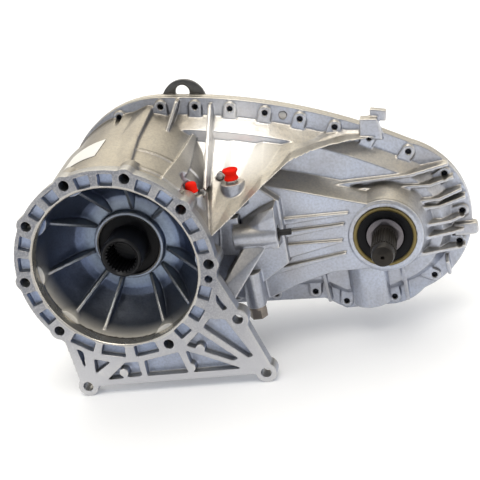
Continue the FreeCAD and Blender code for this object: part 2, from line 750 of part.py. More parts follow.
def fork_bulge_corners(half):
    """Outline of the bulge that carries the mode fork, from the main shaft out to the rail."""
    reach = math.hypot(float(d.rail_x), float(d.rail_z))
    along = Vector(float(d.rail_x), 0, float(d.rail_z)) * (1 / reach)
    side = Vector(-along.z, 0, along.x) * half
    far = along * (reach + half * 0.8)
    return [(corner.x, corner.z) for corner in (side, far + side, far - side, -side)]


def rear_case():
    ox, oz = d.output_x, output_z
    wall_end = d.rear_wall
    forms = [
        ready_shape("rear_rim_plate", solid_of(case_outline(0, d.parting), d.rear_rim_thickness)),
        outline_skin("rear_wall_skin", 17, rear_rim - 1, 21, wall_end),
        drum("rear_hub", 67, 180, 32),
        cone("rear_hub_taper", 67, 50, 212, 10),
        drum("rear_bearing_housing", 48, 212, 26),
        cone("tail_taper", 48, 37, 238, 4),
        drum("tail_rim", 37, 238, 12),
        slab("fork_bulge", fork_bulge_corners(27), 185, 28),
        drum("shift_boss", 15, 185, 22, d.cam_x, d.cam_z),
        slab("motor_pad", [(80, 100), (132, 88), (132, 101), (80, 113)], 188, 17),
        drum("rear_output_cup", 35, 185, 22, ox, oz),
        drum("fill_boss", 16, 188, 14, 150, -42),
        post("sensor_boss", 11, -6, sensor_y, 58, 14),
    ]
    for i, angle in enumerate((80, 140, 180, 220, 262, 300)):
        near, far = polar(46, angle), polar(92, angle)
        forms.append(rib(f"rear_rib_{i}", (near[0], 234, near[1]), (far[0], 194, far[1]), 5, 188))
    for i, (a, b) in enumerate((((66, -12), (236, -22)), ((62, 28), (238, -8)), ((58, -44), (240, -40)),
                                ((138, 54), (250, 2)), ((278, -60), (290, -92)), ((304, -20), (340, -16)))):
        forms.append(rib(f"rear_web_{i}", (a[0], 201, a[1]), (b[0], 201, b[1]), 5, 188))
    shell = fuse("rear_forms", forms)
    cavity_front = d.rim_width + d.case_wall - 1
    hollows = [
        outline_skin("rear_chain_space", cavity_front, d.parting - 1, cavity_front + 3, wall_end - 7),
        drum("clutch_space", 60, 170, 36),
        slab("fork_space", fork_bulge_corners(21), 170, 36),
        drum("pump_seat", 45 + d.seat_gap, 205, 9),
        drum("rear_bearing_seat", d.input_bearing_radius + d.seat_gap, 213, 23),
        drum("rear_ring_groove", d.input_bearing_radius + 2, 232, d.snap_ring_width),
        drum("tail_bore", 25, 230, 30),
        drum("tail_seal_seat", 30 + d.seat_gap, 240, 20),
        drum("needle_seat", 26 + d.seat_gap, 180, 21, ox, oz),
        drum("rail_socket_rear", d.rail_radius + d.seat_gap, 200, d.rail_end - 200, d.rail_x, d.rail_z),
        drum("cam_hole", d.cam_shaft_radius + d.running_gap, 180, 40, d.cam_x, d.cam_z),
        drum("fill_hole", 9 + d.seat_gap, 180, 30, 150, -42),
        post("sensor_hole", 6.02, -6, sensor_y, 50, 30),
        drum("motor_hole_0", 3.1, 195, 14, 87, 105),
        drum("motor_hole_1", 3.1, 195, 14, 125, 96),
    ]
    for i, (x, z, _) in enumerate(bolt_points()):
        hollows.append(drum(f"clear_hole_{i}", 3.3, d.parting - 1, 10, x, z))
    for i, (x, z) in enumerate(dowel_points()):
        hollows.append(drum(f"rear_dowel_hole_{i}", 4.02, d.parting - 1, 6, x, z))
    magnet_boss = cut("magnet_boss", block("magnet_boss_form", 115, 165, -92, 34, 26, 12),
                      [block("magnet_pocket", 119.98, 169.98, -82.5, 24.04, 14.04, 10)])
    keep("rear_case", fuse("rear_case", [cut("rear_hollowed", shell, hollows), magnet_boss]))


def case_fasteners():
    bolts = []
    for i, (x, z, _) in enumerate(bolt_points()):
        # the two bolts that hold the lifting eye sit further back by its thickness
        seat_y = rear_rim + 5 if i in (5, 6) else rear_rim
        bolts.append(drum(f"bolt_shank_{i}", d.bolt_radius, seat_y - 14, 14, x, z))
        bolts.append(hexagon(f"bolt_head_{i}", d.bolt_head_width, seat_y, d.bolt_head_height, x, z))
    keep("case_bolts", fuse("case_bolts", bolts))
    keep("case_dowels", fuse("case_dowels", [drum(f"dowel_{i}", 4, 122.4, 12, x, z)
                                             for i, (x, z) in enumerate(dowel_points())]))
    lift = [(spot[0], spot[1]) for spot in bolt_points()[5:7]]
    (left_x, left_z), (right_x, right_z) = lift
    feet = [drum(f"eye_foot_{i}", 9, rear_rim, 5, x, z) for i, (x, z) in enumerate(lift)]
    web = slab("eye_web", [(left_x, left_z - 9), (left_x, left_z + 9), (71, 140),
                           (right_x, right_z + 9), (right_x, right_z - 9)], rear_rim, 5)
    plate = fuse("eye_forms", [drum("eye_disc", 24.5, rear_rim, 5, 71, 128), *feet, web])
    housing = ready_shape("eye_clearance", solid_of(case_outline(16.4, 137), 10))
    keep("lifting_eye", cut("lifting_eye", plate, [
        housing, drum("eye_hole", 7.8, 137, 8, 71, 139),
        *[drum(f"eye_bolt_hole_{i}", 3.3, 137, 8, x, z) for i, (x, z) in enumerate(lift)]]))


def fittings():
    keep("drain_plug", fuse("drain_plug", [hexagon("drain_hex", 17, 62, 10, 126, -97, UPWARD),
                                           post("drain_collar", 9.5, 126, 62, -87, 3),
                                           post("drain_thread", 6.03, 126, 62, -84, 14)]))
    keep("fill_plug", fuse("fill_plug", [hexagon("fill_hex", 17, 202, 8, 150, -42),
                                         drum("fill_thread", 9, 190, 12, 150, -42)]))
    keep("vent_fitting", fuse("vent_fitting", [cross_bar("vent_stub", 3.3, 147, 31, 52, 0),
                                               cross_bar("vent_collar", 5.2, 158, 8, 52, 0)]))
    keep("speed_sensor", fuse("speed_sensor", [post("sensor_stem", 6, -6, sensor_y, 52, 20),
                                               block("sensor_head", -15, sensor_y - 7, 72, 18, 14, 12),
                                               cross_bar("sensor_socket", 5, -27, 13, sensor_y, 78.5)]))
    keep("chip_magnet", block("chip_magnet", 120, 170, -82.5, 24, 14, 5))
    # dark nipples under the red caps, and the screws beside them
    for name, (x, y, z) in (("low", low_port), ("high", high_port)):
        keep(f"port_nipple_{name}", fuse(f"port_nipple_{name}", [
            post(f"{name}_stem", 3, x, y, z - 12, 18), hexagon(f"{name}_hex", 11, y, 3, x, z, UPWARD)]))
    x, y, z = low_port
    keep("port_cap_low", cut("port_cap_low", fuse("low_cap_forms", [
        post("low_cap_skirt", 6.6, x, y, z + 3, 4), dome("low_cap_top", 6.6, 4.2, x, y, z + 7, 6.6)]),
        [post("low_cap_bore", 3.03, x, y, z + 2, 4.5)]))
    x, y, z = high_port
    keep("port_cap_high", cut("port_cap_high", fuse("high_cap_forms", [
        post("high_cap_foot", 7.4, x, y, z + 3, 2.4), dome("high_cap_waist", 7.0, 5.8, x, y, z + 5.2, 3.2),
        dome("high_cap_flare", 5.8, 8.0, x, y, z + 8.2, 4.0),
        post("high_cap_brim", 8.0, x, y, z + 12, 2.2)]),
        [post("high_cap_bore", 3.03, x, y, z + 2, 4.5)]))
    screws = []
    for i, (x, y, z) in enumerate(screw_seats):
        screws.append(drum(f"screw_shank_{i}", 2, y - 1, 9, x, z))
        screws.append(hexagon(f"screw_head_{i}", 7, y - 3.5, 3.5, x, z))
    keep("port_screws", fuse("port_screws", screws))
    # blank label: a thin sheet bent over the left of the bell
    strip = []
    for i in range(9):
        angle = math.radians(98 + 3.25 * i)
        edge = []
        for y, lift in ((44, 0.2), (44, 0.6), (74, 0.6), (74, 0.2)):
            share = (y - 12) / 112
            reach = 101 - 13 * share + lift
            edge.append((18.7 * share + reach * math.cos(angle), y, 40.5 * share + reach * math.sin(angle)))
        strip.append(edge)
    keep("label", faceted_skin("label", strip))


def dome(name, low_radius, high_radius, x, y, z, height):
    """Upright tapered round form."""
    item = doc.addObject("Part::Cone", name)
    bind(item, Radius1=low_radius, Radius2=high_radius, Height=height)
    return seat(item, x, y, z, UPWARD)


# Input side: gear with its nose, splines and sun teeth, bearing, seal and planetary set


def gear_wire(teeth, tooth_side, y, turn=0.0, backlash=0.16):
    """Outline of involute-like teeth; tooth_side is +1 for a gear and -1 for an internal gear's hole."""
    module = float(d.gear_module)
    pitch_radius = module * teeth / 2
    half = math.pi * module / 4 - backlash * tooth_side
    tip = pitch_radius + (0.8 if tooth_side > 0 else 1.05) * module
    root = pitch_radius - (1.05 if tooth_side > 0 else 0.8) * module
    shares = []
    for radius in (root, tip):
        base = pitch_radius * math.cos(math.radians(25))
        angle = math.acos(min(1.0, base / radius))
        involute = math.tan(angle) - angle
        pitch_involute = math.tan(math.radians(25)) - math.radians(25)
        width = half / pitch_radius + pitch_involute - involute
        shares.append(width * teeth / math.pi)
    return toothed_wire(teeth, root, tip, shares[0], shares[1], y, turn)


def dog_wire(outward, y):
    """Outline of the coupling dogs: the outer form, or the hole that takes it when outward is false."""
    count = int(float(d.dog_count))
    inner, outer = float(d.dog_inner_radius), float(d.dog_outer_radius)
    gap = float(d.dog_gap)
    if outward:
        return toothed_wire(count, inner, outer, 0.48, 0.42, y)
    return toothed_wire(count, inner + gap, outer + gap, 0.58, 0.52, y)


def spline_wire(count, root, tip, y, widen=0.0):
    return toothed_wire(count, root, tip, 0.62 + widen, 0.36 + widen, y)


def input_side():
    sun_end = d.gear_front + d.gear_width
    journal_start = d.input_bearing_front
    nose = turned("input_forms", [
        (0, d.nose_front + 2), (d.nose_radius - 2, d.nose_front), (d.nose_radius, d.nose_front + 2),
        (d.nose_radius, journal_start - 2), (27, journal_start - 2), (27, journal_start),
        (d.input_bearing_bore, journal_start), (d.input_bearing_bore, input_snap),
        (28, input_snap), (28, d.gear_front), (33, d.gear_front), (33, sun_end), (0, sun_end)])
    sun_outline = gear_wire(int(float(d.sun_teeth)), 1, d.gear_front)
    sun = ready_shape("sun_teeth_form", solid_of(sun_outline, d.gear_width))
    spline = ready_shape("input_spline", solid_of(spline_wire(26, 15.6, 17.0, 20), 41))
    dogs = ready_shape("high_dog_hole", solid_of(dog_wire(False, 103.5), 16))
    keep("input_gear", cut("input_gear", fuse("input_gear_forms", [nose, sun]), [
        spline, cone("nose_mouth", 20, 16, d.nose_front - 1, 4), dogs,
        drum("pilot_bore", 13, 84, 30)]))
    keep("input_seal", turned("input_seal", ring_profile(
        d.nose_radius + d.running_gap, d.hub_bore_radius, 63.5, 71)))
    bearing("input_bearing", d.input_bearing_bore + d.running_gap, d.input_bearing_radius,
            d.input_bearing_front, d.input_bearing_width)
    keep("input_snap_ring", turned("input_snap_ring", ring_profile(
        36, d.input_bearing_radius + 2 - d.seat_gap,
        input_snap + 0.1, input_snap + d.snap_ring_width - 0.1)))


def bearing(name, inner, outer, start, width, x=0, z=0):
    """Sealed bearing as one ring."""
    keep(name, turned(name, ring_profile(inner, outer, start, start + width), x, z))


def planetary_set():
    front = d.carrier_front
    gear_end = d.gear_front + d.gear_width
    ring_hole = ready_shape("annulus_hole", solid_of(
        gear_wire(60, -1, d.annulus_front - 1, math.pi / 60), d.annulus_width + 2))
    keep("annulus_gear", cut("annulus_gear", drum("annulus_body", d.annulus_radius, d.annulus_front,
                                                   d.annulus_width), [ring_hole]))
    keep("annulus_snap_ring", turned("annulus_snap_ring", ring_profile(
        71, d.annulus_radius + 2 - d.seat_gap, d.annulus_front + d.annulus_width + 0.1,
        d.annulus_front + d.annulus_width + 2.4)))
    plates = [drum("carrier_front_plate", 57, front, 4), drum("carrier_rear_plate", 57, gear_end + 1.5, 8)]
    pins, bores = [], []
    count = int(float(d.planet_count))
    for i in range(count):
        x, z = polar(47, 45 + 90 * i)
        plates.append(drum(f"carrier_post_{i}", 6, front + 1, gear_end - front + 2, x, z))
        x, z = polar(48, 90 * i)
        bores.append(drum(f"pin_bore_{i}", d.planet_pin_radius + d.seat_gap, front - 1, 40, x, z))
        pins.append(drum(f"planet_pin_{i}", d.planet_pin_radius, front, gear_end + 9.5 - front, x, z))
        teeth = ready_shape(f"planet_teeth_{i}", solid_of(
            gear_wire(int(float(d.planet_teeth)), 1, d.gear_front, math.pi / 12), d.gear_width))
        teeth.Placement = Placement(Vector(x, 0, z), Rotation())
        hole = drum(f"planet_bore_{i}", d.planet_pin_radius + d.running_gap, d.gear_front - 1,
                    d.gear_width + 2, x, z)
        keep(f"planet_gear_{i + 1}", cut(f"planet_gear_{i + 1}", teeth, [hole]))
    low_dogs = ready_shape("low_dog_hole", solid_of(dog_wire(False, gear_end), 12))
    keep("planet_carrier", cut("planet_carrier", fuse("carrier_forms", plates), [
        *bores, low_dogs, drum("carrier_bore", 28 + d.running_gap, front - 1, 8)]))
    keep("planet_pins", fuse("planet_pins", pins))


# Main shaft, range collar, lock collar, oil pump and tail


def main_line():
    shaft_r = d.main_shaft_radius
    gap = d.running_gap
    shaft = turned("main_shaft_turned", [
        (0, 86), (12, 86), (13 - gap, 87), (13 - gap, 104.5), (16, 104.5), (16, 158), (shaft_r, 158),
        (shaft_r, d.tail_end - 42), (d.tail_radius, d.tail_end - 42), (d.tail_radius, d.tail_end - 1.5),
        (d.tail_radius - 1.5, d.tail_end), (0, d.tail_end)])
    spline = ready_shape("collar_spline", solid_of(spline_wire(12, 15.8, 17.6, 104.5), 53))
    hub = drum("lock_hub", d.dog_inner_radius, 190, 8)
    hub_dogs = ready_shape("lock_hub_dogs", solid_of(dog_wire(True, 190), 8))
    grooves = [turned(f"tail_groove_{i}", ring_profile(15, 20, y, y + 1.6)) for i, y in enumerate((252, 268))]
    keep("main_shaft", cut("main_shaft", fuse("main_shaft_forms", [shaft, spline, hub, hub_dogs]), grooves))

    r = float(d.dog_inner_radius)
    tube = turned("range_collar_turned", [
        (16.4, 106), (r, 106), (r, 114), (24, 114), (24, 131), (33, 131), (33, 133), (24, 133),
        (24, 139), (33, 139), (33, 142), (16.4, 142)])
    teeth = ready_shape("range_collar_teeth", solid_of(dog_wire(True, 106), 8))
    bore = ready_shape("range_collar_bore", solid_of(spline_wire(12, 16.1, 17.9, 105, 0.08), 40))
    keep("range_collar", cut("range_collar", fuse("range_collar_forms", [tube, teeth]), [bore]))

    collar = turned("lock_collar_turned", [
        (20, 184), (36, 184), (36, 188.5), (31.2, 188.5), (31.2, 194), (36, 194), (36, 197), (20, 197)])
    keep("lock_collar", cut("lock_collar", collar, [
        ready_shape("lock_dog_hole", solid_of(dog_wire(False, 183), 16))]))

    keep("oil_pump_body", turned("oil_pump_body", ring_profile(30.1, 45, 206, 213.9)))
    keep("oil_pump_rotor", turned("oil_pump_rotor", ring_profile(shaft_r + d.seat_gap, 30, 206.2, 213.7)))
    bearing("rear_bearing", shaft_r + gap, d.input_bearing_radius, 214, 18)
    keep("rear_snap_ring", turned("rear_snap_ring", ring_profile(
        36, d.input_bearing_radius + 2 - d.seat_gap, 232.1, 233.9)))
    keep("tail_seal", turned("tail_seal", [(d.tail_radius + gap, 242), (30, 242), (30, 249.6), (27, 249.6),
                                           (d.tail_radius + gap, 246)]))


# Chain drive and front output


def sprocket(name, bore, x, z, tilt, extra=()):
    count = int(float(d.sprocket_teeth))
    body = ready_shape(name + "_teeth", solid_of(
        toothed_wire(count, 44.2, 48.3, 0.56, 0.1, 0, tilt), d.chain_width))
    body.Placement = Placement(Vector(float(x), float(d.chain_front), float(z)), Rotation())
    hub = drum(name + "_hub", 27, d.chain_front - 2, d.chain_width + 2, x, z)
    keep(name, cut(name, fuse(name + "_forms", [body, hub, *extra]), [
        drum(name + "_bore", bore, d.chain_front - 5, d.chain_width + 15, x, z)]))


def drive_chain(tilt):
    """Loop of separate links that rides on the tips of both sprockets' teeth."""
    pitch = float(d.chain_pitch)
    centre = Vector(float(d.output_x), 0, float(output_z))
    along = Vector(centre).normalize()
    up = Vector(-along.z, 0, along.x)
    radius = pitch / (2 * math.sin(math.pi / float(d.sprocket_teeth)))
    straight = int((float(d.chain_links) - float(d.sprocket_teeth)) / 2)
    step = 2 * math.pi / float(d.sprocket_teeth)
    places = []
    for i in range(straight):
        spot = along * ((i + 0.5) * centre.Length / straight)
        places.append((spot + up * radius, along, up))
        places.append((spot - up * radius, -along, -up))
    for i in range(int(float(d.sprocket_teeth)) // 2):
        angle = (i + 0.5) * step
        outward = up * math.cos(angle) + along * math.sin(angle)
        places.append((centre + outward * radius * math.cos(step / 2), outward.cross(REAR), outward))
        places.append((-outward * radius * math.cos(step / 2), (-outward).cross(REAR), -outward))
    half = pitch / 2 - 0.25
    links = []
    for spot, forward, outward in places:
        corners = []
        for a, b in ((-half, 3.4), (-half + 1, 4.4), (half - 1, 4.4), (half, 3.4),
                     (half, -0.7), (-half, -0.7)):
            corners.append(spot + forward * a + outward * b + Vector(0, float(d.chain_front), 0))
        outline = Part.Face(Part.makePolygon(corners + corners[:1]))
        links.append(outline.extrude(Vector(0, float(d.chain_width), 0)))
    keep("drive_chain", ready_shape("drive_chain", Part.makeCompound(links)))


def front_output():
    ox, oz = d.output_x, output_z
    tilt = math.atan2(float(oz), float(ox)) + math.pi / 2
    sprocket("drive_sprocket", d.main_shaft_radius + d.running_gap, 0, 0, tilt,
             [ready_shape("drive_dogs", solid_of(dog_wire(True, 181), 7.5))])
    sprocket("driven_sprocket", d.output_journal_radius + d.seat_gap, ox, oz, tilt)
    drive_chain(tilt)
    tip = d.output_tip
    r, journal = d.output_spline_radius, d.output_journal_radius
    shaft = turned("output_shaft_turned", [
        (0, tip), (4, tip), (10.6, tip + 2.6), (11.6, tip + 6), (11.6, tip + 14), (11.9, tip + 14), (11.9, 66),
        (r, 66), (r, bearing_seat), (journal, bearing_seat), (journal, 200), (0, 200)], ox, oz)
    spline = ready_shape("output_spline", solid_of(toothed_wire(28, 11.8, float(r), 0.7, 0.36, 0), 34))
    spline.Placement = Placement(Vector(float(ox), float(tip) + 14, float(oz)), Rotation())
    dimple = cone("output_dimple", 2.6, 0.4, tip - 1, 4, ox, oz)
    forms = fuse("output_shaft_forms", [shaft, spline])
    keep("front_output_shaft", cut("front_output_shaft", forms, [dimple]))
    face = d.output_face
    keep("output_sleeve", turned("output_sleeve", ring_profile(r + d.seat_gap, 19.16, face, face + 8),
                                 ox, oz))
    keep("output_seal_lip", turned("output_seal_lip", [
        (19.2, face + 4), (20.4, face + 1.4), (28.7, face), (28.7, face + 8), (19.2, face + 6.5)], ox, oz))
    keep("output_seal_ring", turned("output_seal_ring", [
        (28.7 + d.seat_gap, face - 0.6), (30, face - 1.4), (d.seal_seat_radius, face - 1.4),
        (d.seal_seat_radius, face + 8), (28.7 + d.seat_gap, face + 8)], ox, oz))
    bearing("output_bearing", journal + d.running_gap, d.output_bearing_radius, bearing_seat,
            d.output_bearing_width, ox, oz)
    keep("output_snap_ring", turned("output_snap_ring", ring_profile(
        32, d.output_bearing_radius + 2 - d.seat_gap,
        output_snap + 0.1, output_snap + d.snap_ring_width - 0.1), ox, oz))
    keep("output_rear_bearing", turned("output_rear_bearing", ring_profile(
        journal + d.running_gap, 26, 187, 200), ox, oz))


# Shift gear: rail, cam shaft and the two forks


def fork(name, rest, hub_length, plate_start, plate_width, inner, outer, extra=()):
    """Fork on the rail: a half ring around the main shaft, an arm and a hub."""
    toward = math.degrees(math.atan2(float(d.rail_z), float(d.rail_x)))
    steps = [toward - 84 + 14 * i for i in range(13)]
    corners = [polar(inner, angle) for angle in steps] + [polar(outer, angle) for angle in reversed(steps)]
    reach = math.hypot(float(d.rail_x), float(d.rail_z))
    along = Vector(float(d.rail_x), 0, float(d.rail_z)) * (1 / reach)
    side = Vector(-along.z, 0, along.x)
    arm = []
    for distance, half in ((outer - 3, 20), (reach, 11), (reach, -11), (outer - 3, -20)):
        spot = along * distance + side * half
        arm.append((spot.x, spot.z))
    forms = [slab(name + "_ring", corners, plate_start, plate_width),
             slab(name + "_arm", arm, plate_start, plate_width),
             drum(name + "_hub", 12.5, rest, hub_length, d.rail_x, d.rail_z), *extra]
    keep(name, cut(name, fuse(name + "_forms", forms), [
        drum(name + "_bore", d.rail_radius + d.running_gap, rest - 1, hub_length + 2, d.rail_x, d.rail_z)]))


def shift_gear():
    keep("fork_rail", drum("fork_rail", d.rail_radius, d.shift_socket, d.rail_end - d.shift_socket,
                           d.rail_x, d.rail_z))
    toward_cam = Vector(float(d.cam_x - d.rail_x), 0, float(d.cam_z - d.rail_z))
    pin = bind(doc.addObject("Part::Cylinder", "follower_pin"), Radius=2.5, Height=13)
    start = Vector(float(d.rail_x), 136, float(d.rail_z)) + Vector(toward_cam).normalize() * 9
    pin.Placement = Placement(start, Rotation(Vector(0, 0, 1), toward_cam))
    fork("range_fork", 130, 12, 133.3, 5.4, 26.0, 42.0, [pin])
    fork("mode_fork", 183, 12, 188.9, 4.7, 32.4, 46.0)

    groove = []
    pin_side = math.degrees(math.atan2(float(d.rail_z - d.cam_z), float(d.rail_x - d.cam_x)))
    travel = float(d.range_travel)
    turn = float(d.shift_turn)
    for i in range(15):
        swept = -16 + (turn + 32) * i / 14
        middle = 136 + travel * swept / turn
        near, far = (polar(radius, pin_side + swept, d.cam_x, d.cam_z) for radius in (12, 17))
        groove.append([(near[0], middle - 3.3, near[1]), (far[0], middle - 3.3, far[1]),
                       (far[0], middle + 3.3, far[1]), (near[0], middle + 3.3, near[1])])
    cam_shaft = drum("cam_shaft_bar", d.cam_shaft_radius, d.shift_socket + 0.5, 116, d.cam_x, d.cam_z)
    barrel = drum("cam_barrel", d.cam_radius, 125, 36, d.cam_x, d.cam_z)
    x, z = float(d.cam_x), float(d.cam_z)
    flats = [block("cam_flat_0", x - 10, 209, z + 5.5, 20, 20, 6),
             block("cam_flat_1", x - 10, 209, z - 11.5, 20, 20, 6)]
    keep("shift_shaft", cut("shift_shaft", fuse("shift_shaft_forms", [cam_shaft, barrel]), [
        faceted_skin("cam_groove", groove), *flats]))


front_case()
rear_case()
case_fasteners()
fittings()
input_side()
planetary_set()
main_line()
front_output()
shift_gear()

doc.recompute()
for item in doc.Objects:
    if "Invalid" in item.State or "Error" in item.State:
        raise RuntimeError(f"{item.Name} did not build: {item.State}")
for name, item in nodes.items():
    if item.Shape.isNull() or not item.Shape.isValid():
        raise RuntimeError(f"{name} has no valid shape")
    item.Shape.exportStep(f"parts/{name}.step")
    box = item.Shape.BoundBox
    print(name, len(item.Shape.Solids), "solids,", f"{item.Shape.Volume / 1000:.1f} cm3,",
          f"{box.XMin:.1f} {box.YMin:.1f} {box.ZMin:.1f} to {box.XMax:.1f} {box.YMax:.1f} {box.ZMax:.1f}")
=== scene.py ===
import json
import math

import bmesh
import bpy
from mathutils import Matrix, Vector

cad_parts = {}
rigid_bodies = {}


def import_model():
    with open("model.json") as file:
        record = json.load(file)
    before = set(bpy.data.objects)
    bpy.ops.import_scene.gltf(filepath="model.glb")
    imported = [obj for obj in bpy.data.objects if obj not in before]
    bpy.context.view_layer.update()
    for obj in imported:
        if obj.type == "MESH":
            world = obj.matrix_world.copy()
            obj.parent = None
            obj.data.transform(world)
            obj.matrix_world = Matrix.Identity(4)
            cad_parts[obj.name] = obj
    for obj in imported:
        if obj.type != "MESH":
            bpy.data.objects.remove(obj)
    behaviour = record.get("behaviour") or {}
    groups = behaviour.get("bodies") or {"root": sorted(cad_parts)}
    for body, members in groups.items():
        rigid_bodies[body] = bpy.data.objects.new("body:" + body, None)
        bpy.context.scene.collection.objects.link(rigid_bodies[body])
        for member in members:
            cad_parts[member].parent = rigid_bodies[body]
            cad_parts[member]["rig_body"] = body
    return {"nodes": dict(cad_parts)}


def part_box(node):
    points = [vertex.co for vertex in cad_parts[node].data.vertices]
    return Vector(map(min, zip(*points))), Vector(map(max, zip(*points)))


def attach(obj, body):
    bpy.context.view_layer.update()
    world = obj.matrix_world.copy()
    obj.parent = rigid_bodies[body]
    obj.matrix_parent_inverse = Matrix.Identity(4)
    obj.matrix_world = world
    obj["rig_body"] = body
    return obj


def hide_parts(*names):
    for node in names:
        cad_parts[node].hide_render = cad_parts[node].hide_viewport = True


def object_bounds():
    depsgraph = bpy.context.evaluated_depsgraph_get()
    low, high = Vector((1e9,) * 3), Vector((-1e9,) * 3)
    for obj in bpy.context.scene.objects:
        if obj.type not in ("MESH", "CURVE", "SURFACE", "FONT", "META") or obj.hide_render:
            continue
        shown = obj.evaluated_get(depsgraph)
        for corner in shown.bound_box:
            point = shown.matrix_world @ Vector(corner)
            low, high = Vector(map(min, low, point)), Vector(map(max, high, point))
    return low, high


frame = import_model()
cad_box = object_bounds()

# Front case: the bell, the deep housing and the front half of the chain case in one aluminium die casting.
# The flange's face and the bell's mouth are machined. The cast walls keep soft corners and a fine grain.

# depths behind the flange's face, in metres
FACE_DEPTH = 0.0006
MOUTH_DEPTH = 0.0122
FLANGE_DEPTH = 0.0135
BELL_DEPTH = 0.0715
HUB_DEPTH = 0.0735
# radii about the input axis, in metres
HUB_RADIUS = 0.0352
BELL_RADIUS = 0.0866
MOUTH_RADIUS = 0.0892
POCKET_RADIUS = 0.105
# the curve of the bell's inner wall: where it starts, how long it is, and its radius at both ends
CURVE_START = 0.012
CURVE_LENGTH = 0.054
CURVE_WIDE = 0.0868
CURVE_NARROW = 0.0610
# the hollow above the ports gets a painted highlight: its middle, and how far its full core and its fading
# edge reach
HOLLOW = (0.125, 0.088, 0.096)
HOLLOW_CORE = 0.0222
HOLLOW_GLARE_EDGE = 0.0556
# the bell is darker up to one place along X and less and less so through the next two
DARKENING_PLACES = (0.032, 0.096, 0.20)
# the ribs in the bell, from their feet to their crests, by how far they stand off its wall; the painted shade
# pales towards the crests
RIB_FOOT = 0.0012
RIB_CREST = 0.010
# the painted sheen inside the mouth: depths where it is full and gone, and the same for its slanted upper
# edge
SHEEN_DEPTHS = (0.01725, 0.036)
SHEEN_HEIGHTS = (-0.070, -0.015)
SHEEN_SLANT = 0.55


def bell_radius(depth):
    """The radius of the bell's inner wall at a depth, for a number and for a wire alike."""
    along = (depth - CURVE_START) / CURVE_LENGTH
    return CURVE_WIDE - along * along * (CURVE_WIDE - CURVE_NARROW)


class Wire:
    """A node's socket that Python's own signs work on, so that a formula adds its Math nodes."""

    def __init__(self, tree, socket):
        self.tree = tree
        self.socket = socket

    def maths(self, operation, first, second):
        return add_node(self.tree, "ShaderNodeMath", {"operation": operation}, {0: first, 1: second})

    def __add__(self, other):
        return self.maths("ADD", self, other)

    def __radd__(self, other):
        return self.maths("ADD", other, self)

    def __sub__(self, other):
        return self.maths("SUBTRACT", self, other)

    def __rsub__(self, other):
        return self.maths("SUBTRACT", other, self)

    def __mul__(self, other):
        return self.maths("MULTIPLY", self, other)

    def __rmul__(self, other):
        return self.maths("MULTIPLY", other, self)

    def __truediv__(self, other):
        return self.maths("DIVIDE", self, other)

    def __rtruediv__(self, other):
        return self.maths("DIVIDE", other, self)

    def __lt__(self, other):
        return self.maths("LESS_THAN", self, other)

    def __gt__(self, other):
        return self.maths("GREATER_THAN", self, other)


def add_node(tree, kind, settings=None, values=None, out=0):
    """Adds a node, gives it its settings and then its sockets' values or links, and returns one output."""
    node = tree.nodes.new(kind)
    for setting, value in (settings or {}).items():
        if setting == "stops":
            while len(node.color_ramp.elements) < len(value):
                node.color_ramp.elements.new(1.0)
            for element, (position, colour) in zip(node.color_ramp.elements, value):
                element.position = position
                element.color = colour
        else:
            setattr(node, setting, value)
    for socket, value in (values or {}).items():
        for wire in value if isinstance(value, list) else [value]:
            if isinstance(wire, Wire):
                tree.links.new(wire.socket, node.inputs[socket])
            else:
                node.inputs[socket].default_value = wire
    return Wire(tree, node.outputs[out])


def axes(tree, vector):
    """The three parts of a vector, as wires."""
    return [add_node(tree, "ShaderNodeSeparateXYZ", {}, {0: vector}, out=axis) for axis in "XYZ"]


def rise(tree, value, start, end):
    """0 before start, 1 past end and a straight slope between them; start may be the larger."""
    return add_node(tree, "ShaderNodeMapRange", {}, {0: value, 1: start, 2: end})


def patches(tree, place, scale, detail=3.0, roughness=0.5):
    """Soft patches from 0 to 1; scale is how many lie along a metre."""
    return add_node(tree, "ShaderNodeTexNoise", {}, {"Vector": place, "Scale": scale, "Detail": detail,
                                                     "Roughness": roughness})


def stretched(tree, place, scale, turn=(0.0, 0.0, 0.0)):
    """Long patches from 0 to 1; scale is how many lie along a metre of each axis."""
    drawn_out = add_node(tree, "ShaderNodeMapping", {}, {"Vector": place, "Scale": scale, "Rotation": turn})
    return patches(tree, drawn_out, 1.0, 2.0)


def blend_colours(tree, share, first, second):
    """The first colour where share is 0, and the second where it is 1."""
    return add_node(tree, "ShaderNodeMix", {"data_type": "RGBA"}, {0: share, 6: first, 7: second}, out=2)


def tinted(tree, share, tone, tint):
    """The tone multiplied by a tint, where share is 1."""
    return add_node(tree, "ShaderNodeMix", {"data_type": "RGBA", "blend_type": "MULTIPLY"},
                    {0: share, 6: tone, 7: tint}, out=2)


def relief(tree, height, strength, distance=0.0001):
    """A bump; distance is how far it stands out in metres."""
    return add_node(tree, "ShaderNodeBump", {}, {"Strength": strength, "Distance": distance,
                                                 "Height": height}, out="Normal")


def surface(name, paint, metallic, specular=0.5):
    """A material: metallic and specular are plain values, and paint(tree, place) gives what varies."""
    material = bpy.data.materials.new(name)
    material.use_nodes = True
    tree = material.node_tree
    shader = tree.nodes["Principled BSDF"]
    shader.inputs["Metallic"].default_value = metallic
    shader.inputs["Specular IOR Level"].default_value = specular
    place = add_node(tree, "ShaderNodeTexCoord", out="Object")
    for socket, wire in paint(tree, place).items():
        tree.links.new(wire.socket, shader.inputs[socket])
    return material


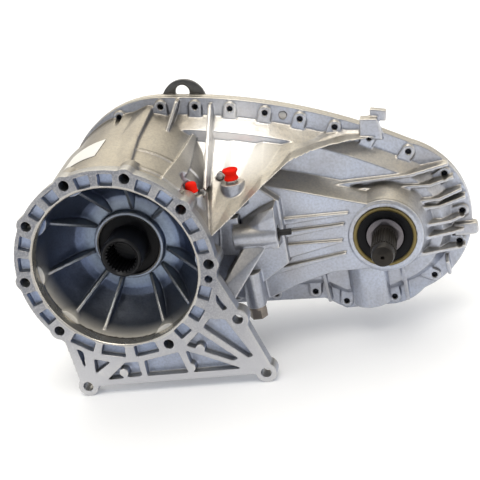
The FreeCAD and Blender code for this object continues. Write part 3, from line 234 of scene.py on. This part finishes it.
def cast_tone(tree, place, corner_shade):
    """Die-cast skin with painted light, cream facing up and blue-grey in front; the last argument sets its
    painted corner shade.
    """
    top_lit_cream, front_lit_blue_grey = (0.54, 0.495, 0.41, 1), (0.50, 0.54, 0.64, 1)
    dust, pore, corner_shadow_dark = (0.33, 0.29, 0.25, 1), (0.25, 0.25, 0.26, 1), (0.09, 0.085, 0.08, 1)
    _, _, up = axes(tree, add_node(tree, "ShaderNodeNewGeometry", out="Normal"))
    # painted shade: ambient occlusion darkens corners, creases and hollows
    openness = add_node(tree, "ShaderNodeAmbientOcclusion", {"samples": 8}, {"Distance": 0.012}, out="AO")
    # painted light: warm cream where the skin faces up, cool blue-grey where it faces the front
    skin = blend_colours(tree, rise(tree, up, 0.1, 0.8), front_lit_blue_grey, top_lit_cream)
    skin = blend_colours(tree, rise(tree, patches(tree, place, 22.0, 5.0), 0.35, 0.70) * 0.4, skin, dust)
    skin = blend_colours(tree, rise(tree, patches(tree, place, 420.0), 0.40, 0.65) * 0.3, skin, pore)
    return blend_colours(tree, rise(tree, openness, 0.6, 0.05) * corner_shade, skin, corner_shadow_dark)


def lit_edges_and_shaded_corners(tree, tone):
    """Painted highlights on sharp edges and painted shade in inner corners, over a tone."""
    bright, dull = (0.88, 0.84, 0.75, 1), (0.10, 0.095, 0.09, 1)
    sharpness = add_node(tree, "ShaderNodeNewGeometry", out="Pointiness")
    # painted highlight: sharp convex edges blend towards pale cream
    tone = blend_colours(tree, rise(tree, sharpness, 0.51, 0.60) * 0.75, tone, bright)
    # painted shade: inner corners blend towards near black
    return blend_colours(tree, rise(tree, sharpness, 0.492, 0.42) * 0.5, tone, dull)


def cast_relief(tree, place, milled):
    """Grain and shallow dents on the cast skin, and fine cutter lines where it is milled."""
    cutter = stretched(tree, place, (30.0, 1.0, 900.0), (0.0, 0.5, 0.0))
    grain = patches(tree, place, 900.0, 4.0, 0.6) + patches(tree, place, 170.0, 2.0) * 1.4
    return relief(tree, grain * (1 - milled) + cutter * milled * 0.15, 0.65, 0.0002)


def flange_tone(tree, place, reach, z):
    """The milled face of the flange: grey, paler low down as a painted reflection, frosted, and warmer beside
    the mouth.
    """
    reflecting_grey, shaded = (0.56, 0.56, 0.58, 1), (0.20, 0.205, 0.23, 1)
    frost, warm = (0.60, 0.60, 0.62, 1), (0.56, 0.53, 0.48, 1)
    # painted reflection: the face pales towards the bottom, with random patches over it
    reflection_and_patches = rise(tree, z, -0.026, -0.13) + patches(tree, place, 14.0, 4.0) * 0.3 - 0.12
    face = blend_colours(tree, reflection_and_patches, shaded, reflecting_grey)
    face = blend_colours(tree, rise(tree, patches(tree, place, 500.0), 0.45, 0.70) * 0.35, face, frost)
    return blend_colours(tree, (reach < MOUTH_RADIUS + 0.001) * 0.6, face, warm)


def front_case_paint(tree, place):
    """The front case's skin with its milled flange face, turned mouth, painted shade in the bell and painted
    highlights.
    """
    x, y, z = axes(tree, place)
    reach = add_node(tree, "ShaderNodeVectorMath", {"operation": "LENGTH"}, {
        0: add_node(tree, "ShaderNodeCombineXYZ", {}, {"X": x, "Z": z})}, out="Value")
    milled = y < FACE_DEPTH
    flange = y < FLANGE_DEPTH
    mouth = (reach < MOUTH_RADIUS) * (y < MOUTH_DEPTH) * (1 - milled)
    # painted cool shade in the flange's pockets, and half as much in the bracket's recesses
    recess_shade = (reach > MOUTH_RADIUS) * flange * (1 - milled) * (1 - (reach > POCKET_RADIUS) * 0.5)
    bell = (reach < BELL_RADIUS) * (y < BELL_DEPTH)
    hub = (reach < HUB_RADIUS) * (y < HUB_DEPTH)
    covered, thinner, gone = DARKENING_PLACES
    low_x_darkening = rise(tree, x, thinner, covered) * 0.5 + rise(tree, x, gone, thinner) * 0.5
    skin = cast_tone(tree, place, 0.7 - flange * 0.5)
    # darker towards low X, except on the flange
    tone = tinted(tree, low_x_darkening * (1 - flange), skin, (0.66, 0.64, 0.61, 1))
    away = add_node(tree, "ShaderNodeVectorMath", {"operation": "DISTANCE"}, {0: place, 1: HOLLOW},
                    out="Value")
    # painted highlight: the skin turns near white around the hollow above the ports
    hollow_glare = rise(tree, away, HOLLOW_GLARE_EDGE, HOLLOW_CORE) * 0.85
    tone = blend_colours(tree, hollow_glare, tone, (0.92, 0.90, 0.86, 1))
    # painted shade: the pockets and recesses are darkened and cooled
    tone = tinted(tree, recess_shade, tone, (0.70, 0.77, 0.90, 1))
    # inside the bell the walls get painted shade, paler on the ribs as painted highlight, and the lower left
    # gets a painted sheen
    rib_light = rise(tree, bell_radius(y) - reach, RIB_FOOT, RIB_CREST)
    shade = blend_colours(tree, rib_light, (0.42, 0.52, 0.76, 1), (0.70, 0.83, 1.0, 1))
    (full, none), (lowest, highest) = SHEEN_DEPTHS, SHEEN_HEIGHTS
    painted_sheen = bell * rise(tree, y, none, full) * rise(tree, z + x * SHEEN_SLANT, highest, lowest)
    tone = blend_colours(tree, painted_sheen * 0.8, tinted(tree, bell, tone, shade), (0.80, 0.74, 0.62, 1))
    tone = blend_colours(tree, hub, tone, (0.03, 0.03, 0.035, 1))
    tone = blend_colours(tree, mouth, tone, (0.62, 0.58, 0.50, 1))
    # painted highlights on edges and painted shade in inner corners go over the whole tone
    tone = lit_edges_and_shaded_corners(tree, blend_colours(tree, milled, tone, flange_tone(tree, place, reach, z)))
    gloss = patches(tree, place, 60.0, 4.0) * 0.2 + 0.24 - mouth * 0.06
    return {"Base Color": tone, "Roughness": gloss, "Metallic": 0.85 - painted_sheen * 0.6,
            "Normal": cast_relief(tree, place, milled)}


def linked(name, data):
    """A new object at the origin, linked to the scene."""
    thing = bpy.data.objects.new(name, data)
    bpy.context.scene.collection.objects.link(thing)
    return thing


def merged_copy(node, name):
    """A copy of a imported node's mesh with its doubles merged, as a new object at the origin."""
    shell = bmesh.new()
    shell.from_mesh(frame["nodes"][node].data)
    bmesh.ops.remove_doubles(shell, verts=shell.verts, dist=2e-6)
    mesh = bpy.data.meshes.new(name)
    shell.to_mesh(mesh)
    shell.free()
    for attribute in ("custom_normal", "sharp_edge", "sharp_face"):
        if attribute in mesh.attributes:
            mesh.attributes.remove(mesh.attributes[attribute])
    return linked(name, mesh)


def settle(piece):
    """Applies a piece's modifiers, so that a plain mesh is left."""
    mesh = bpy.data.meshes.new_from_object(piece.evaluated_get(bpy.context.evaluated_depsgraph_get()))
    piece.modifiers.clear()
    piece.data = mesh
    return mesh


def hand_over(piece, material, node):
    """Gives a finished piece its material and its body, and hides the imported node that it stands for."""
    piece.data.materials.clear()
    piece.data.materials.append(material)
    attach(piece, frame["nodes"][node]["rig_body"])
    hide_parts(node)


def casting(node, material, voxel, most_triangles):
    """A casting: corners rounded by a voxel remesh and light smoothing, then thinned on its flat walls."""
    piece = merged_copy(node, node + "_casting")
    remesh = piece.modifiers.new("skin", "REMESH")
    remesh.mode = "VOXEL"
    remesh.voxel_size = voxel
    smooth = piece.modifiers.new("soft corners", "SMOOTH")
    smooth.factor = 0.5
    smooth.iterations = 5
    quads = len(settle(piece).polygons)
    thin = piece.modifiers.new("thin", "DECIMATE")
    thin.ratio = min(1.0, most_triangles / (2 * quads))
    mesh = settle(piece)
    mesh.polygons.foreach_set("use_smooth", [True] * len(mesh.polygons))
    hand_over(piece, material, node)
    return piece


front = casting("front_case", surface("front_case_alloy", front_case_paint, metallic=0.85),
                voxel=0.0009, most_triangles=195000)
# (depth, radius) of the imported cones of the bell's inner wall, which the smooth curve takes over from
CONES = [(CURVE_START, CURVE_WIDE), (0.026, 0.0845), (0.039, 0.0805), (0.050, 0.075), (0.059, 0.068),
         (CURVE_START + CURVE_LENGTH, CURVE_NARROW)]
# what lies this near the wall moves with it, and what lies further off follows less and less
FULL_HOLD = 0.0005
HOLD_FADE = 0.002
for vertex in front.data.vertices:
    x, y, z = vertex.co
    for (near, wide), (far, narrow) in zip(CONES, CONES[1:]):
        if near <= y < far:
            reach = math.hypot(x, z)
            packed = wide + (narrow - wide) * (y - near) / (far - near)
            hold = max(0.0, 1.0 - max(0.0, abs(reach - packed) - FULL_HOLD) / HOLD_FADE)
            growth = 1.0 + hold * (bell_radius(y) - packed) / reach
            vertex.co = (x * growth, y, z * growth)

# Rear case: the rear half of the chain case with the tail bearing's housing, in the same die-cast alloy.
# The tail's rear face is turned. The case bolts hold it to the front case.

TAIL_FACE = 0.2595


def rear_case_paint(tree, place):
    """The same cast skin with its painted light and shade, with a turned tail."""
    _, y, _ = axes(tree, place)
    turned = y > TAIL_FACE
    tone = lit_edges_and_shaded_corners(tree, blend_colours(tree, turned, cast_tone(tree, place, 0.7), (0.42, 0.43, 0.46, 1)))
    return {"Base Color": tone, "Roughness": patches(tree, place, 60.0, 4.0) * 0.16 + 0.34 - turned * 0.06,
            "Normal": cast_relief(tree, place, turned)}


casting("rear_case", surface("rear_case_alloy", rear_case_paint, metallic=0.85),
        voxel=0.0013, most_triangles=160000)

# Case bolts: flanged M6 screws in zinc-plated steel that hold the two halves together.
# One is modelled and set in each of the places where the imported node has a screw.
# The dowels in the joint and the two screws beside the ports have the same plating.


def plated_paint(bright, dull):
    """Plated or ground steel with small stains and hair scratches, near black where it has a thread."""
    def paint(tree, place):
        stains = patches(tree, place, 180.0, 4.0)
        thread = add_node(tree, "ShaderNodeAttribute", {"attribute_name": "thread"}, out="Fac")
        colour = blend_colours(tree, stains, dull, bright)
        colour = blend_colours(tree, thread, colour, (0.012, 0.013, 0.018, 1))
        scratches = stretched(tree, place, (2500.0, 200.0, 2500.0))
        return {"Base Color": colour, "Roughness": stains * 0.2 + 0.24,
                "Normal": relief(tree, scratches, 0.25)}
    return paint


def smooth_shaded(mesh, crease):
    """Smooth shading, with a sharp edge where two faces meet at more than crease degrees."""
    mesh.polygons.foreach_set("use_smooth", [True] * len(mesh.polygons))
    mesh.set_sharp_from_angle(angle=math.radians(crease))


def turned_piece(node, name, material, chamfer=0.0003):
    """A machined piece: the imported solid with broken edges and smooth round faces."""
    piece = merged_copy(node, name)
    shell = bmesh.new()
    shell.from_mesh(piece.data)
    bmesh.ops.dissolve_limit(shell, angle_limit=math.radians(1.0), verts=shell.verts, edges=shell.edges)
    shell.to_mesh(piece.data)
    shell.free()
    bevel = piece.modifiers.new("broken edges", "BEVEL")
    bevel.width = chamfer
    bevel.segments = 2
    bevel.angle_limit = math.radians(40)
    bevel.miter_outer = "MITER_ARC"
    smooth_shaded(settle(piece), crease=35)
    hand_over(piece, material, node)


def loose_parts(mesh):
    """The corners of each separate solid in a mesh."""
    shell = bmesh.new()
    shell.from_mesh(mesh)
    parts = []
    seen = set()
    for start in shell.verts:
        if start.index in seen:
            continue
        seen.add(start.index)
        queue = [start]
        corners = []
        while queue:
            vertex = queue.pop()
            corners.append(vertex.co.copy())
            for edge in vertex.link_edges:
                other = edge.other_vert(vertex)
                if other.index not in seen:
                    seen.add(other.index)
                    queue.append(other)
        parts.append(corners)
    shell.free()
    return parts


BOLT_SIZES = {"Head Width": 0.0100, "Head Height": 0.0055, "Washer Radius": 0.0066, "Shank Radius": 0.0030,
              "Shank Length": 0.0140}


def bolt_tree():
    """Flanged hexagon bolt on every point: washer, head with a domed top and plain shank, along +Y."""
    tree = bpy.data.node_groups.new("flanged_bolt", "GeometryNodeTree")
    tree.interface.new_socket("Points", in_out="INPUT", socket_type="NodeSocketGeometry")
    for name in BOLT_SIZES:
        tree.interface.new_socket(name, in_out="INPUT", socket_type="NodeSocketFloat")
    tree.interface.new_socket("Finish", in_out="INPUT", socket_type="NodeSocketMaterial")
    tree.interface.new_socket("Bolts", in_out="OUTPUT", socket_type="NodeSocketGeometry")

    def given(name):
        return add_node(tree, "NodeGroupInput", out=name)

    def set_at(form, height):
        lift = add_node(tree, "ShaderNodeCombineXYZ", {}, {"Z": height})
        return add_node(tree, "GeometryNodeTransform", {}, {"Geometry": form, "Translation": lift})

    def rod(sides, radius, length):
        return add_node(tree, "GeometryNodeMeshCylinder", {}, {"Vertices": sides, "Radius": radius,
                                                               "Depth": length})

    def taper(bottom, top, length):
        return add_node(tree, "GeometryNodeMeshCone", {}, {"Vertices": 32, "Radius Top": top,
                                                           "Radius Bottom": bottom, "Depth": length})

    corner = given("Head Width") / math.sqrt(3)
    high = given("Head Height")
    flats = high * 0.86
    head = set_at(rod(6, corner, flats), flats * 0.5)
    crown = set_at(taper(corner * 0.87, corner * 0.72, high - flats), flats)
    collar = set_at(taper(given("Washer Radius"), corner * 0.9, high * 0.3), 0.0)
    shank = set_at(rod(24, given("Shank Radius"), given("Shank Length")), given("Shank Length") * -0.5)
    thread = add_node(tree, "GeometryNodeStoreNamedAttribute", {"data_type": "FLOAT", "domain": "POINT"}, {
        "Geometry": shank, "Name": "thread", "Value": 1.0})
    bolt = add_node(tree, "GeometryNodeJoinGeometry", {}, {"Geometry": [head, crown, collar, thread]})
    spread = add_node(tree, "GeometryNodeInstanceOnPoints", {}, {
        "Points": given("Points"), "Instance": bolt, "Rotation": (-math.pi / 2, 0.0, 0.0)})
    whole = add_node(tree, "GeometryNodeRealizeInstances", {}, {"Geometry": spread})
    finished = add_node(tree, "GeometryNodeSetMaterial", {}, {"Geometry": whole, "Material": given("Finish")})
    outlet = tree.nodes.new("NodeGroupOutput")
    tree.links.new(finished.socket, outlet.inputs["Bolts"])
    return tree


def grown(name, points, tree, inputs):
    """A plain mesh from a geometry tree that is run on points."""
    seats = bpy.data.meshes.new(name)
    seats.from_pydata(points, [], [])
    piece = linked(name, seats)
    maker = piece.modifiers.new("maker", "NODES")
    maker.node_group = tree
    for socket in tree.interface.items_tree:
        if socket.in_out == "INPUT" and socket.name in inputs:
            maker[socket.identifier] = inputs[socket.name]
    smooth_shaded(settle(piece), crease=35)
    return piece


def bolt_seat(corners):
    """The point under a packed screw's head, which is at the screw's +Y end."""
    low = [min(corner[axis] for corner in corners) for axis in range(3)]
    high = [max(corner[axis] for corner in corners) for axis in range(3)]
    return (low[0] + high[0]) / 2, high[1] - BOLT_SIZES["Head Height"], (low[2] + high[2]) / 2


zinc = surface("zinc_plate", plated_paint((0.55, 0.54, 0.51, 1), (0.34, 0.33, 0.32, 1)), metallic=0.9)
packed_bolts = merged_copy("case_bolts", "packed_bolts")
bolt_seats = [bolt_seat(corners) for corners in loose_parts(packed_bolts.data)]
bpy.data.objects.remove(packed_bolts)
bolt_set = grown("case_bolt_set", bolt_seats, bolt_tree(), {**BOLT_SIZES, "Finish": zinc})
hand_over(bolt_set, zinc, "case_bolts")
turned_piece("case_dowels", "case_dowel_pair", zinc)
turned_piece("port_screws", "port_screw_pair", zinc)

# Lifting eye: a stamped plate of plated steel that two of the case bolts hold.
# Its edges are rolled over by the press.

pressed = surface("pressed_plate", plated_paint((0.13, 0.126, 0.12, 1), (0.075, 0.073, 0.07, 1)),
                  metallic=0.8)
turned_piece("lifting_eye", "lifting_eye_plate", pressed, chamfer=0.0008)

# Plugs: a hexagon plug low at the front to drain the oil and one at the back to fill it.
# Both are steel, plated bronze-brown, and screwed into the case.

bronze = surface("plug_bronze", plated_paint((0.38, 0.33, 0.28, 1), (0.20, 0.17, 0.15, 1)), metallic=0.85)
for plug in ("drain_plug", "fill_plug"):
    turned_piece(plug, plug + "_turned", bronze, chamfer=0.0006)

# Moulded pieces: the breather's elbow and the speed sensor, in black glass-filled nylon.
# The chip magnet on the case's floor is a sintered block with the same dull, grainy skin.


def moulded_paint(fresh, worn, grain=1200.0, gloss=0.35):
    """A moulded or sintered skin, dulled in patches; grain is how many pores lie along a metre."""
    def paint(tree, place):
        wear = rise(tree, patches(tree, place, 90.0, 4.0), 0.35, 0.75)
        return {"Base Color": blend_colours(tree, wear, fresh, worn), "Roughness": wear * 0.2 + gloss,
                "Normal": relief(tree, patches(tree, place, grain), 0.3)}
    return paint


nylon = surface("black_nylon", moulded_paint((0.010, 0.010, 0.011, 1), (0.025, 0.024, 0.023, 1)),
                metallic=0.0, specular=0.25)
for moulding in ("vent_fitting", "speed_sensor"):
    turned_piece(moulding, moulding + "_moulding", nylon, chamfer=0.0005)
magnet = surface("sintered_magnet", moulded_paint((0.20, 0.20, 0.21, 1), (0.27, 0.27, 0.28, 1)), metallic=0.3)
turned_piece("chip_magnet", "chip_magnet_block", magnet, chamfer=0.0008)

# Ports: two zinc-plated nipples pressed into the housing's top.
# A soft red vinyl cap is pushed over each of them to keep dirt out.


def spun(name, profile, centre, foot, steps=64):
    """A closed round form from its (radius, height) profile, about an upright line through centre."""
    shell = bmesh.new()
    rings = []
    for i in range(steps):
        turn = 2 * math.pi * i / steps
        rings.append([shell.verts.new((centre.x + math.cos(turn) * radius, centre.y + math.sin(turn) * radius,
                                       foot + height)) for radius, height in profile])
    count = len(profile)
    for ring, following in zip(rings, rings[1:] + rings[:1]):
        for k in range(count):
            after = (k + 1) % count
            if profile[k][0] or profile[after][0]:
                shell.faces.new((ring[k], following[k], following[after], ring[after]))
    bmesh.ops.remove_doubles(shell, verts=shell.verts, dist=1e-6)
    bmesh.ops.dissolve_degenerate(shell, edges=shell.edges, dist=1e-7)
    bmesh.ops.recalc_face_normals(shell, faces=shell.faces)
    mesh = bpy.data.meshes.new(name)
    shell.to_mesh(mesh)
    shell.free()
    smooth_shaded(mesh, crease=50)
    return linked(name, mesh)


for nipple in ("port_nipple_low", "port_nipple_high"):
    turned_piece(nipple, nipple + "_turned", zinc)
vinyl = moulded_paint((0.90, 0.016, 0.004, 1), (0.80, 0.012, 0.004, 1), grain=500.0, gloss=0.6)
red = surface("red_vinyl", vinyl, metallic=0.0, specular=0.1)
# (radius, height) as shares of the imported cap's own radius and height
KNOB = [(0.47, 0.0), (0.93, 0.0), (1.0, 0.05), (1.0, 0.13), (0.93, 0.18), (0.90, 0.24), (0.90, 0.62),
        (0.87, 0.78), (0.78, 0.90), (0.62, 0.97), (0.40, 1.0), (0.0, 1.0), (0.0, 0.42), (0.47, 0.42)]
SPOOL = [(0.39, 0.0), (0.88, 0.0), (0.93, 0.05), (0.91, 0.17), (0.80, 0.30), (0.74, 0.42), (0.77, 0.56),
         (0.90, 0.72), (1.0, 0.80), (1.0, 0.92), (0.96, 0.98), (0.90, 1.0), (0.82, 0.97), (0.74, 0.88),
         (0.60, 0.82), (0.0, 0.80), (0.0, 0.40), (0.39, 0.40)]
for cap, shares in (("port_cap_low", KNOB), ("port_cap_high", SPOOL)):
    low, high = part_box(cap)
    radius = (high.x - low.x) / 2
    height = high.z - low.z
    profile = [(across * radius, up * height) for across, up in shares]
    hand_over(spun(cap + "_moulding", profile, (low + high) / 2, low.z), red, cap)

# Label: a sheet of coated white paper stuck over the left of the bell.
# It is left blank.


def paper_paint(tree, place):
    """Coated paper, a little yellowed in patches."""
    tone = patches(tree, place, 60.0)
    return {"Base Color": blend_colours(tree, tone, (0.80, 0.78, 0.71, 1), (0.90, 0.88, 0.83, 1)),
            "Roughness": tone * 0.1 + 0.45}


paper = surface("label_paper", paper_paint, metallic=0.0, specular=0.3)
turned_piece("label", "blank_label", paper, chamfer=0.0001)

# Shafts: the input gear's splined nose, the front output, the main shaft and the front output's sleeve.
# They are turned and hobbed from steel. The two that show their splines are phosphated near black.

steel = surface("gear_steel", plated_paint((0.36, 0.35, 0.34, 1), (0.20, 0.20, 0.20, 1)), metallic=0.9)
dark = surface("phosphated_steel", plated_paint((0.040, 0.034, 0.028, 1), (0.016, 0.014, 0.012, 1)),
               metallic=0.6, specular=0.35)
black = surface("blackened_steel", plated_paint((0.020, 0.020, 0.022, 1), (0.008, 0.008, 0.009, 1)),
                metallic=0.5, specular=0.35)
sleeve = surface("sleeve_steel", plated_paint((0.20, 0.185, 0.195, 1), (0.12, 0.11, 0.12, 1)), metallic=0.8)
turned_piece("input_gear", "input_gear_turned", black, chamfer=0.0002)
turned_piece("front_output_shaft", "front_output_turned", dark)
turned_piece("main_shaft", "main_shaft_turned", steel, chamfer=0.0002)
turned_piece("output_sleeve", "output_sleeve_turned", sleeve)

# Seals: pressed steel rings, passivated olive, and black rubber lips that keep the oil in round the shafts.
# Each is pushed into its bore in the case and stays there as its shaft turns.

olive = surface("passivated_steel", plated_paint((0.24, 0.19, 0.075, 1), (0.13, 0.10, 0.04, 1)), metallic=0.8)
rubber = surface("seal_rubber", moulded_paint((0.006, 0.006, 0.007, 1), (0.012, 0.012, 0.013, 1)),
                 metallic=0.0, specular=0.12)
turned_piece("output_seal_ring", "output_seal_case", olive)
turned_piece("output_seal_lip", "output_seal_rubber", rubber)
turned_piece("tail_seal", "tail_seal_case", olive)
turned_piece("input_seal", "input_seal_case", rubber)

# Works inside the case: bearings, rings, gears, chain, forks and pump, with the cam shaft that shifts them.
# The bearings are ground bright, the rings and chain are tempered dark and the forks are cast alloy.
# Only the cam shaft's tip shows from outside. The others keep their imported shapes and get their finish.


def fork_paint(tree, place):
    """The case's cast skin with its painted light and shade, a little duller."""
    return {"Base Color": lit_edges_and_shaded_corners(tree, cast_tone(tree, place, 0.7)),
            "Roughness": patches(tree, place, 60.0, 4.0) * 0.2 + 0.3}


turned_piece("shift_shaft", "shift_shaft_turned", steel)
ground = surface("ground_steel", plated_paint((0.62, 0.62, 0.62, 1), (0.48, 0.48, 0.48, 1)), metallic=0.95)
spring = surface("spring_steel", plated_paint((0.10, 0.11, 0.14, 1), (0.05, 0.055, 0.07, 1)), metallic=0.8)
tempered = surface("tempered_steel", plated_paint((0.17, 0.15, 0.12, 1), (0.09, 0.08, 0.07, 1)),
                   metallic=0.85)
alloy = surface("fork_alloy", fork_paint, metallic=0.8)
INNER = {ground: ("input_bearing", "rear_bearing", "output_bearing", "output_rear_bearing", "planet_pins",
                  "fork_rail"),
         spring: ("input_snap_ring", "annulus_snap_ring", "rear_snap_ring", "output_snap_ring"),
         tempered: ("drive_sprocket", "driven_sprocket", "drive_chain"),
         alloy: ("range_fork", "mode_fork", "oil_pump_body"),
         steel: ("annulus_gear", "planet_gear_1", "planet_gear_2", "planet_gear_3", "planet_gear_4",
                 "planet_carrier", "range_collar", "lock_collar", "oil_pump_rotor")}
for finish, inner_nodes in INNER.items():
    for inner in inner_nodes:
        inner_mesh = frame["nodes"][inner].data
        inner_mesh.materials.clear()
        inner_mesh.materials.append(finish)

# Studio: a pale floor under the case, three soft lamps and a grey sky with a soft box for the metal to show.
# The camera stands where the photograph was taken from.

FLOOR_REACH = 30.0
floor_height = cad_box[0][2]
floor_mesh = bpy.data.meshes.new("studio_floor")
floor_mesh.from_pydata([(side * FLOOR_REACH, depth * FLOOR_REACH, floor_height)
                        for side, depth in ((-1, -1), (1, -1), (1, 1), (-1, 1))], [], [(0, 1, 2, 3)])
linked("studio_floor", floor_mesh)


def seen_rays(tree):
    """1 for rays that look at the backdrop: from the camera, by reflection or through glass."""
    rays = [add_node(tree, "ShaderNodeLightPath", out=kind)
            for kind in ("Is Camera Ray", "Is Glossy Ray", "Is Transmission Ray")]
    return rays[0] + rays[1] + rays[2]


floor_material = bpy.data.materials.new("studio_floor")
floor_material.use_nodes = True
floor_tree = floor_material.node_tree
floor_shader = floor_tree.nodes["Principled BSDF"]
floor_shader.inputs["Base Color"].default_value = (0.86, 0.86, 0.86, 1)
floor_shader.inputs["Roughness"].default_value = 0.9
floor_shader.inputs["Emission Strength"].default_value = 0.17
floor_tree.links.new(seen_rays(floor_tree).socket, floor_shader.inputs["Emission Color"])
floor_mesh.materials.append(floor_material)

world = bpy.data.worlds.new("studio_air")
bpy.context.scene.world = world
world.use_nodes = True
world_tree = world.node_tree
# the sky is dim and cool in front, and pale above and behind, where the soft box hangs
towards = add_node(world_tree, "ShaderNodeTexCoord", out="Generated")
right, back, above = axes(world_tree, towards)
sky = add_node(world_tree, "ShaderNodeValToRGB", {"stops": [
    (0.12, (0.16, 0.19, 0.25, 1)), (0.42, (0.34, 0.37, 0.42, 1)), (0.66, (0.60, 0.60, 0.60, 1)),
    (0.88, (0.85, 0.83, 0.80, 1))]}, {0: back * 0.32 + above * 0.45 - right * 0.08 + 0.5})
SOFT_BOX = Vector((-0.15, 0.60, 0.78)).normalized()
facing = add_node(world_tree, "ShaderNodeVectorMath", {"operation": "DOT_PRODUCT"},
                  {0: towards, 1: SOFT_BOX}, out="Value")
sky = blend_colours(world_tree, rise(world_tree, facing, 0.84, 0.95), sky, (2.3, 2.25, 2.1, 1))
world_tree.links.new(sky.socket, world_tree.nodes["Background"].inputs["Color"])


def sun(name, direction, strength, spread, colour):
    """A wide soft lamp that lights the case and the floor evenly; direction points at the lamp."""
    light = bpy.data.lights.new(name, "SUN")
    light.energy = strength
    light.angle = math.radians(spread)
    light.color = colour
    linked(name, light).rotation_euler = Vector(direction).to_track_quat("Z", "Y").to_euler()


sun("key", (0.05, -0.35, 0.93), strength=0.9, spread=30.0, colour=(1.0, 0.97, 0.92))
sun("fill", (-0.75, -0.60, 0.25), strength=0.35, spread=50.0, colour=(0.90, 0.94, 1.0))
sun("side", (0.90, -0.10, 0.35), strength=0.45, spread=40.0, colour=(1.0, 0.98, 0.95))

CAMERA_PLACE = Vector((0.3733, -1.0050, 0.4131))
CAMERA_FORWARD = Vector((-0.2150, 0.9086, -0.3581)).normalized()
CAMERA_UP = Vector((0.1023, 0.3857, 0.9169))
lens = bpy.data.cameras.new("photo_view")
lens.lens = 84.05
lens.sensor_width = 36.0
camera = linked("photo_view", lens)
camera_right = CAMERA_FORWARD.cross(CAMERA_UP).normalized()
camera_top = camera_right.cross(CAMERA_FORWARD)
camera.matrix_world = Matrix((camera_right, camera_top, -CAMERA_FORWARD)).transposed().to_4x4()
camera.location = CAMERA_PLACE
bpy.context.scene.camera = camera
bpy.context.scene.view_settings.view_transform = "Standard"
